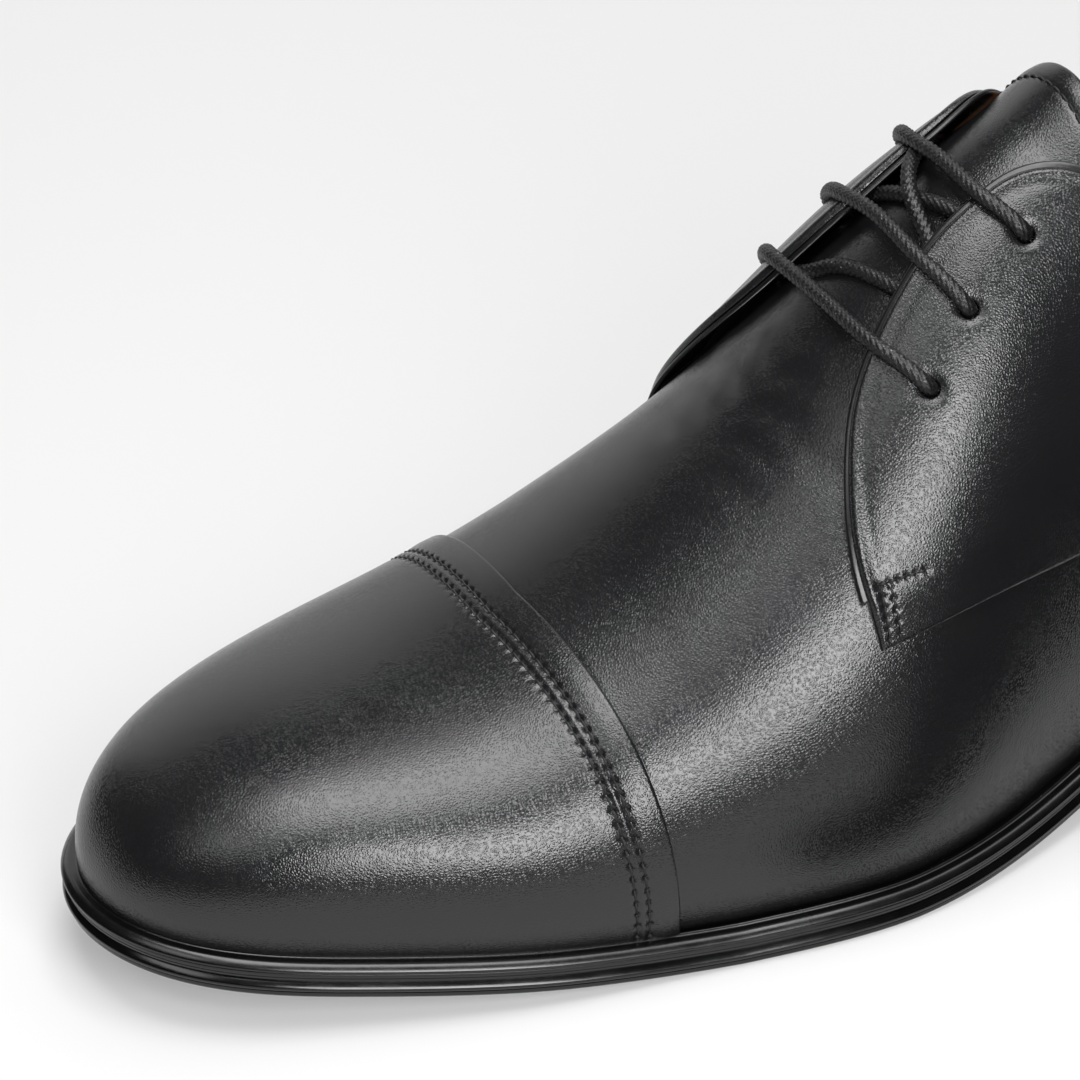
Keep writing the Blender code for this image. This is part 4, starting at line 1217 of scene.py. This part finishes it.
# Bottom: profiles as (depth in from the edge, height over the outsole's bottom) in mm, each with a
# bead whose upper half is nearly flat, so that it draws a broad light line
soleShape = {
    "outsole": (
        (3.0, 0.00), (0.90, 0.00), (0.58, 0.07), (0.42, 0.28), (0.36, 0.60), (0.40, 0.92),
        (0.80, 1.08), (0.90, 1.14), (0.35, 1.18), (0.08, 1.32), (-0.05, 1.56), (-0.06, 1.78),
        (0.02, 1.98), (0.14, 2.13), (0.32, 2.30), (0.52, 2.48), (0.74, 2.66), (0.98, 2.82),
        (1.02, 2.94), (0.98, 3.00), (0.56, 3.06), (0.48, 3.18), (0.46, 3.60), (3.0, 3.60),
    ),
    "welt": (
        (3.0, 0.02), (0.50, 0.02), (0.46, 0.06), (0.46, 0.72), (0.52, 0.82), (0.90, 0.90),
        (0.90, 0.98), (0.35, 1.02), (0.08, 1.14), (-0.05, 1.34), (-0.06, 1.52), (0.02, 1.70),
        (0.14, 1.84), (0.32, 2.01), (0.54, 2.19), (0.78, 2.35), (1.04, 2.48), (1.30, 2.53),
        (1.60, 2.50), (2.20, 2.44), (2.50, 2.46), (2.64, 2.64), (2.82, 2.74), (3.00, 2.64),
        (3.14, 2.44), (3.40, 2.40), (4.6, 2.40),
    ),
    "heelInset": 0.0011, "heelTaper": 0.0015, "heelLength": 0.0780, "topPiece": 0.0060,
}


def acrossFaces(count, start):
    half = (count - 1) // 2
    faces = [(start, start + 1, start + count - 1)]
    for i in range(1, half):
        faces.append((start + i, start + i + 1, start + count - i - 1, start + count - i))
    if count % 2 == 0:
        faces.append((start + half, start + half + 1, start + half + 2))
    return faces


def loftRings(rings):
    count = len(rings[0])
    faces = ringFaces(len(rings), count)
    last = (len(rings) - 1) * count
    return np.concatenate(rings), faces + acrossFaces(count, 0) + acrossFaces(count, last), len(faces)


def edgeRings(profile, base):
    ground = groundAt(soleLine[:, 1]) + base
    return [np.column_stack([weltEdge(-depth * mm), ground + height * mm]) for depth, height in profile]


def makeOutsole():
    points, faces, sideFaces = loftRings(edgeRings(soleShape["outsole"], 0.0))
    looks = np.zeros(len(faces), int)
    looks[sideFaces:] = 1
    looks[:len(soleLine)] = 1
    outsole = makePiece("outsole_bottomed", points, faces, [edgeBlack, rubber], looks, 50)
    finishPiece(outsole, "outsole_rubber", "outsole")


def makeWelt():
    points, faces, _ = loftRings(edgeRings(soleShape["welt"], shoeLast["outsole"]))
    welt = makePiece("welt_dressed", points, faces, [weltBlack], sharpAngle=50)
    finishPiece(welt, "welt_leather", "welt")


def heelRing(inset, height):
    line = weltEdge(-inset)
    breast = 0.5 * lastLength - soleShape["heelLength"]
    behind = [k for k in range(len(line) // 2 + 1) if line[k, 1] > breast]
    last = behind[-1]
    share = (line[last, 1] - breast) / (line[last, 1] - line[last + 1, 1])
    corner = line[last] + (line[last + 1] - line[last]) * share
    other = line[-last] + (line[-last - 1] - line[-last]) * share
    other[1] = corner[1]
    ring = np.concatenate([line[:last + 1], [corner], [other], line[-last:]])
    return np.column_stack([ring, height(ring[:, 1])])


def addBevel(obj, width):
    bevel = obj.modifiers.new("softened_edges", "BEVEL")
    bevel.width, bevel.segments = width, 3
    bevel.limit_method, bevel.angle_limit = "ANGLE", math.radians(50)
    bevel.harden_normals = False


def makeHeel():
    shape = soleShape
    taper = shape["heelTaper"] * shape["topPiece"] / shoeLast["heelHeight"]
    level = lambda height: (lambda y: np.full_like(y, height))
    under = lambda y: groundAt(y) - shoeLast["gap"]
    low = shape["topPiece"] + shoeLast["gap"]
    block = []
    for share in np.linspace(0, 1, 9):
        inset = shape["heelInset"] + (shape["heelTaper"] - taper) * (1 - share)
        block.append(heelRing(inset, lambda y, s=share: low + (under(y) - low) * s))
    points, faces, _ = loftRings(block)
    heel = makePiece("heel_stacked", points, faces, [heelBlack], sharpAngle=40)
    addBevel(heel, 0.35 * mm)
    finishPiece(heel, "heel_leather", "heel")
    inset = shape["heelInset"] + shape["heelTaper"]
    rings = [heelRing(inset, level(0.0)), heelRing(inset - taper, level(shape["topPiece"]))]
    points, faces, _ = loftRings(rings)
    piece = makePiece("heel_top_piece_rubber", points, faces, [rubber], sharpAngle=40)
    addBevel(piece, 0.5 * mm)
    finishPiece(piece, "top_piece_rubber", "heel_top_piece")


# Sock, with a profile as the sole's
sockShape = {
    "margin": 0.0008, "toeFrom": 0.9,
    "profile": ((0, 0.0), (0, 1.9), (0.15, 2.4), (0.5, 2.8), (1.2, 3.0), (6.0, 2.9)),
}


def makeSock():
    inset = quarterShape["wall"] + sockShape["margin"]
    ground = groundAt(featherLine(lambda station: -inset + 0 * station)[:, 1]) + featherLift
    rings = []
    for depth, height in sockShape["profile"]:
        line = featherLine(
            lambda station: -inset - inset * smoothStep(sockShape["toeFrom"], 1.0, station) - depth * mm)
        rings.append(np.column_stack([line, ground + height * mm]))
    points, faces, _ = loftRings(rings)
    sock = makePiece("sock_full_length", points, faces, [lining], sharpAngle=50)
    finishPiece(sock, "insole_leather", "insole")


makeOutsole()
makeWelt()
makeHeel()
makeSock()
print("bottom made")


# Floor, light and camera
studio = {
    "floorColour": "#a6a6a6", "floorGlow": 0.32, "floorSize": 8.0, "lightsAim": (0.0, -0.05, 0.04),
    "skyStrength": 0.03, "backdropColour": "#f5f5f5", "sensor": 36.0,
    "azimuth": 63.70, "elevation": 33.13, "roll": -2.79, "distance": 1.0, "lens": 203.05,
    "target": (-0.034277, -0.050893, 0.0325),
}


def directionOf(azimuth, elevation):
    a, e = math.radians(azimuth), math.radians(elevation)
    return Vector((math.sin(a) * math.cos(e), -math.cos(a) * math.cos(e), math.sin(e)))


def makeFloor():
    half = studio["floorSize"] / 2
    corners = [(-half, -half, 0), (half, -half, 0), (half, half, 0), (-half, half, 0)]
    mesh = bpy.data.meshes.new("floor")
    mesh.from_pydata(corners, [], [(0, 1, 2, 3)])
    floor = linkObject("floor", mesh)
    made, tree = newMaterial("floor_matt_paper")
    finishMaterial(tree, {
        "Base Color": toLinear(studio["floorColour"]), "Roughness": 0.9, "Specular IOR Level": 0.2,
        "Emission Color": (1, 1, 1, 1), "Emission Strength": studio["floorGlow"]})
    mesh.materials.append(made)


# Softboxes as (azimuth, elevation, distance, width, height, radiance)
lights = {
    "overhead_softbox": (90, 87, 1.3, 0.85, 0.85, 8.0),
    "side_softbox": (79, 31, 0.58, 0.27, 0.31, 13.0),
    "front_softbox": (12, 53, 1.3, 0.60, 0.34, 3.4),
    "backdrop": (-106, 20, 1.3, 1.6, 0.8, 0.95),
    "rear_softbox": (200, 62, 1.5, 1.0, 0.8, 2.4),
}


def makeLights():
    for name, (azimuth, elevation, distance, width, height, radiance) in lights.items():
        light = bpy.data.lights.new(name, "AREA")
        light.shape = "RECTANGLE"
        light.size, light.size_y = width, height
        light.energy = radiance * math.pi * width * height
        obj = linkObject(name, light)
        back = directionOf(azimuth, elevation)
        obj.location = Vector(studio["lightsAim"]) + back * distance
        obj.rotation_euler = back.to_track_quat("Z", "Y").to_euler()
        obj.visible_camera = False


# A black card on the outer side, seen in reflections alone: it keeps the white floor off the quarter.
# It stands beside the quarter and has a strip that lies on the floor at the shoe's foot: painted shade, which
# in reflections stands in for the floor's shadow there.
flag = {"x": 0.095, "from": -0.015, "to": 0.300, "height": 0.090, "footX": 0.060, "footFrom": -0.045}


def makeFlag():
    size = flag
    corners = [
        (size["x"], size["from"], 0.0), (size["x"], size["to"], 0.0),
        (size["x"], size["to"], size["height"]), (size["x"], size["from"], size["height"]),
        (size["footX"], size["footFrom"], mm), (size["x"], size["footFrom"], mm),
        (size["x"], size["to"], mm), (size["footX"], size["to"], mm)]
    mesh = bpy.data.meshes.new("black_flag")
    mesh.from_pydata(corners, [], [(0, 1, 2, 3), (4, 5, 6, 7)])
    card = linkObject("black_flag", mesh)
    made, tree = newMaterial("card_matt_black")
    finishMaterial(tree, {"Base Color": toLinear("#050505"), "Roughness": 1.0, "Specular IOR Level": 0.0})
    mesh.materials.append(made)
    card.visible_camera = card.visible_diffuse = card.visible_shadow = False


def makeWorld():
    world = bpy.data.worlds.new("studio")
    bpy.context.scene.world = world
    world.use_nodes = True
    tree = world.node_tree
    tree.nodes.clear()
    seen = addNode(tree, "ShaderNodeLightPath").outputs["Is Camera Ray"]
    dim = addNode(tree, "ShaderNodeBackground", None, {
        "Color": (1, 1, 1, 1), "Strength": studio["skyStrength"]})
    pale = addNode(tree, "ShaderNodeBackground", None, {
        "Color": toLinear(studio["backdropColour"]), "Strength": 1.0})
    both = addNode(tree, "ShaderNodeMixShader", None, {0: seen, 1: dim.outputs[0], 2: pale.outputs[0]})
    addNode(tree, "ShaderNodeOutputWorld", None, {"Surface": both.outputs[0]})
    bpy.context.scene.view_settings.view_transform = "Standard"


def makeCamera():
    back = directionOf(studio["azimuth"], studio["elevation"])
    turn, roll = math.radians(studio["azimuth"]), math.radians(studio["roll"])
    right = Vector((math.cos(turn), math.sin(turn), 0.0))
    up = back.cross(right)
    across = right * math.cos(roll) + up * math.sin(roll)
    upright = up * math.cos(roll) - right * math.sin(roll)
    data = bpy.data.cameras.new("camera")
    data.lens, data.sensor_width = studio["lens"], studio["sensor"]
    data.clip_start, data.clip_end = 0.05, 20.0
    camera = linkObject("camera", data)
    place = Vector(studio["target"]) + back * studio["distance"]
    camera.matrix_world = Matrix((
        (across.x, upright.x, back.x, place.x), (across.y, upright.y, back.y, place.y),
        (across.z, upright.z, back.z, place.z), (0, 0, 0, 1)))
    bpy.context.scene.camera = camera


makeFloor()
makeFlag()
makeLights()
makeWorld()
makeCamera()
print("studio made")
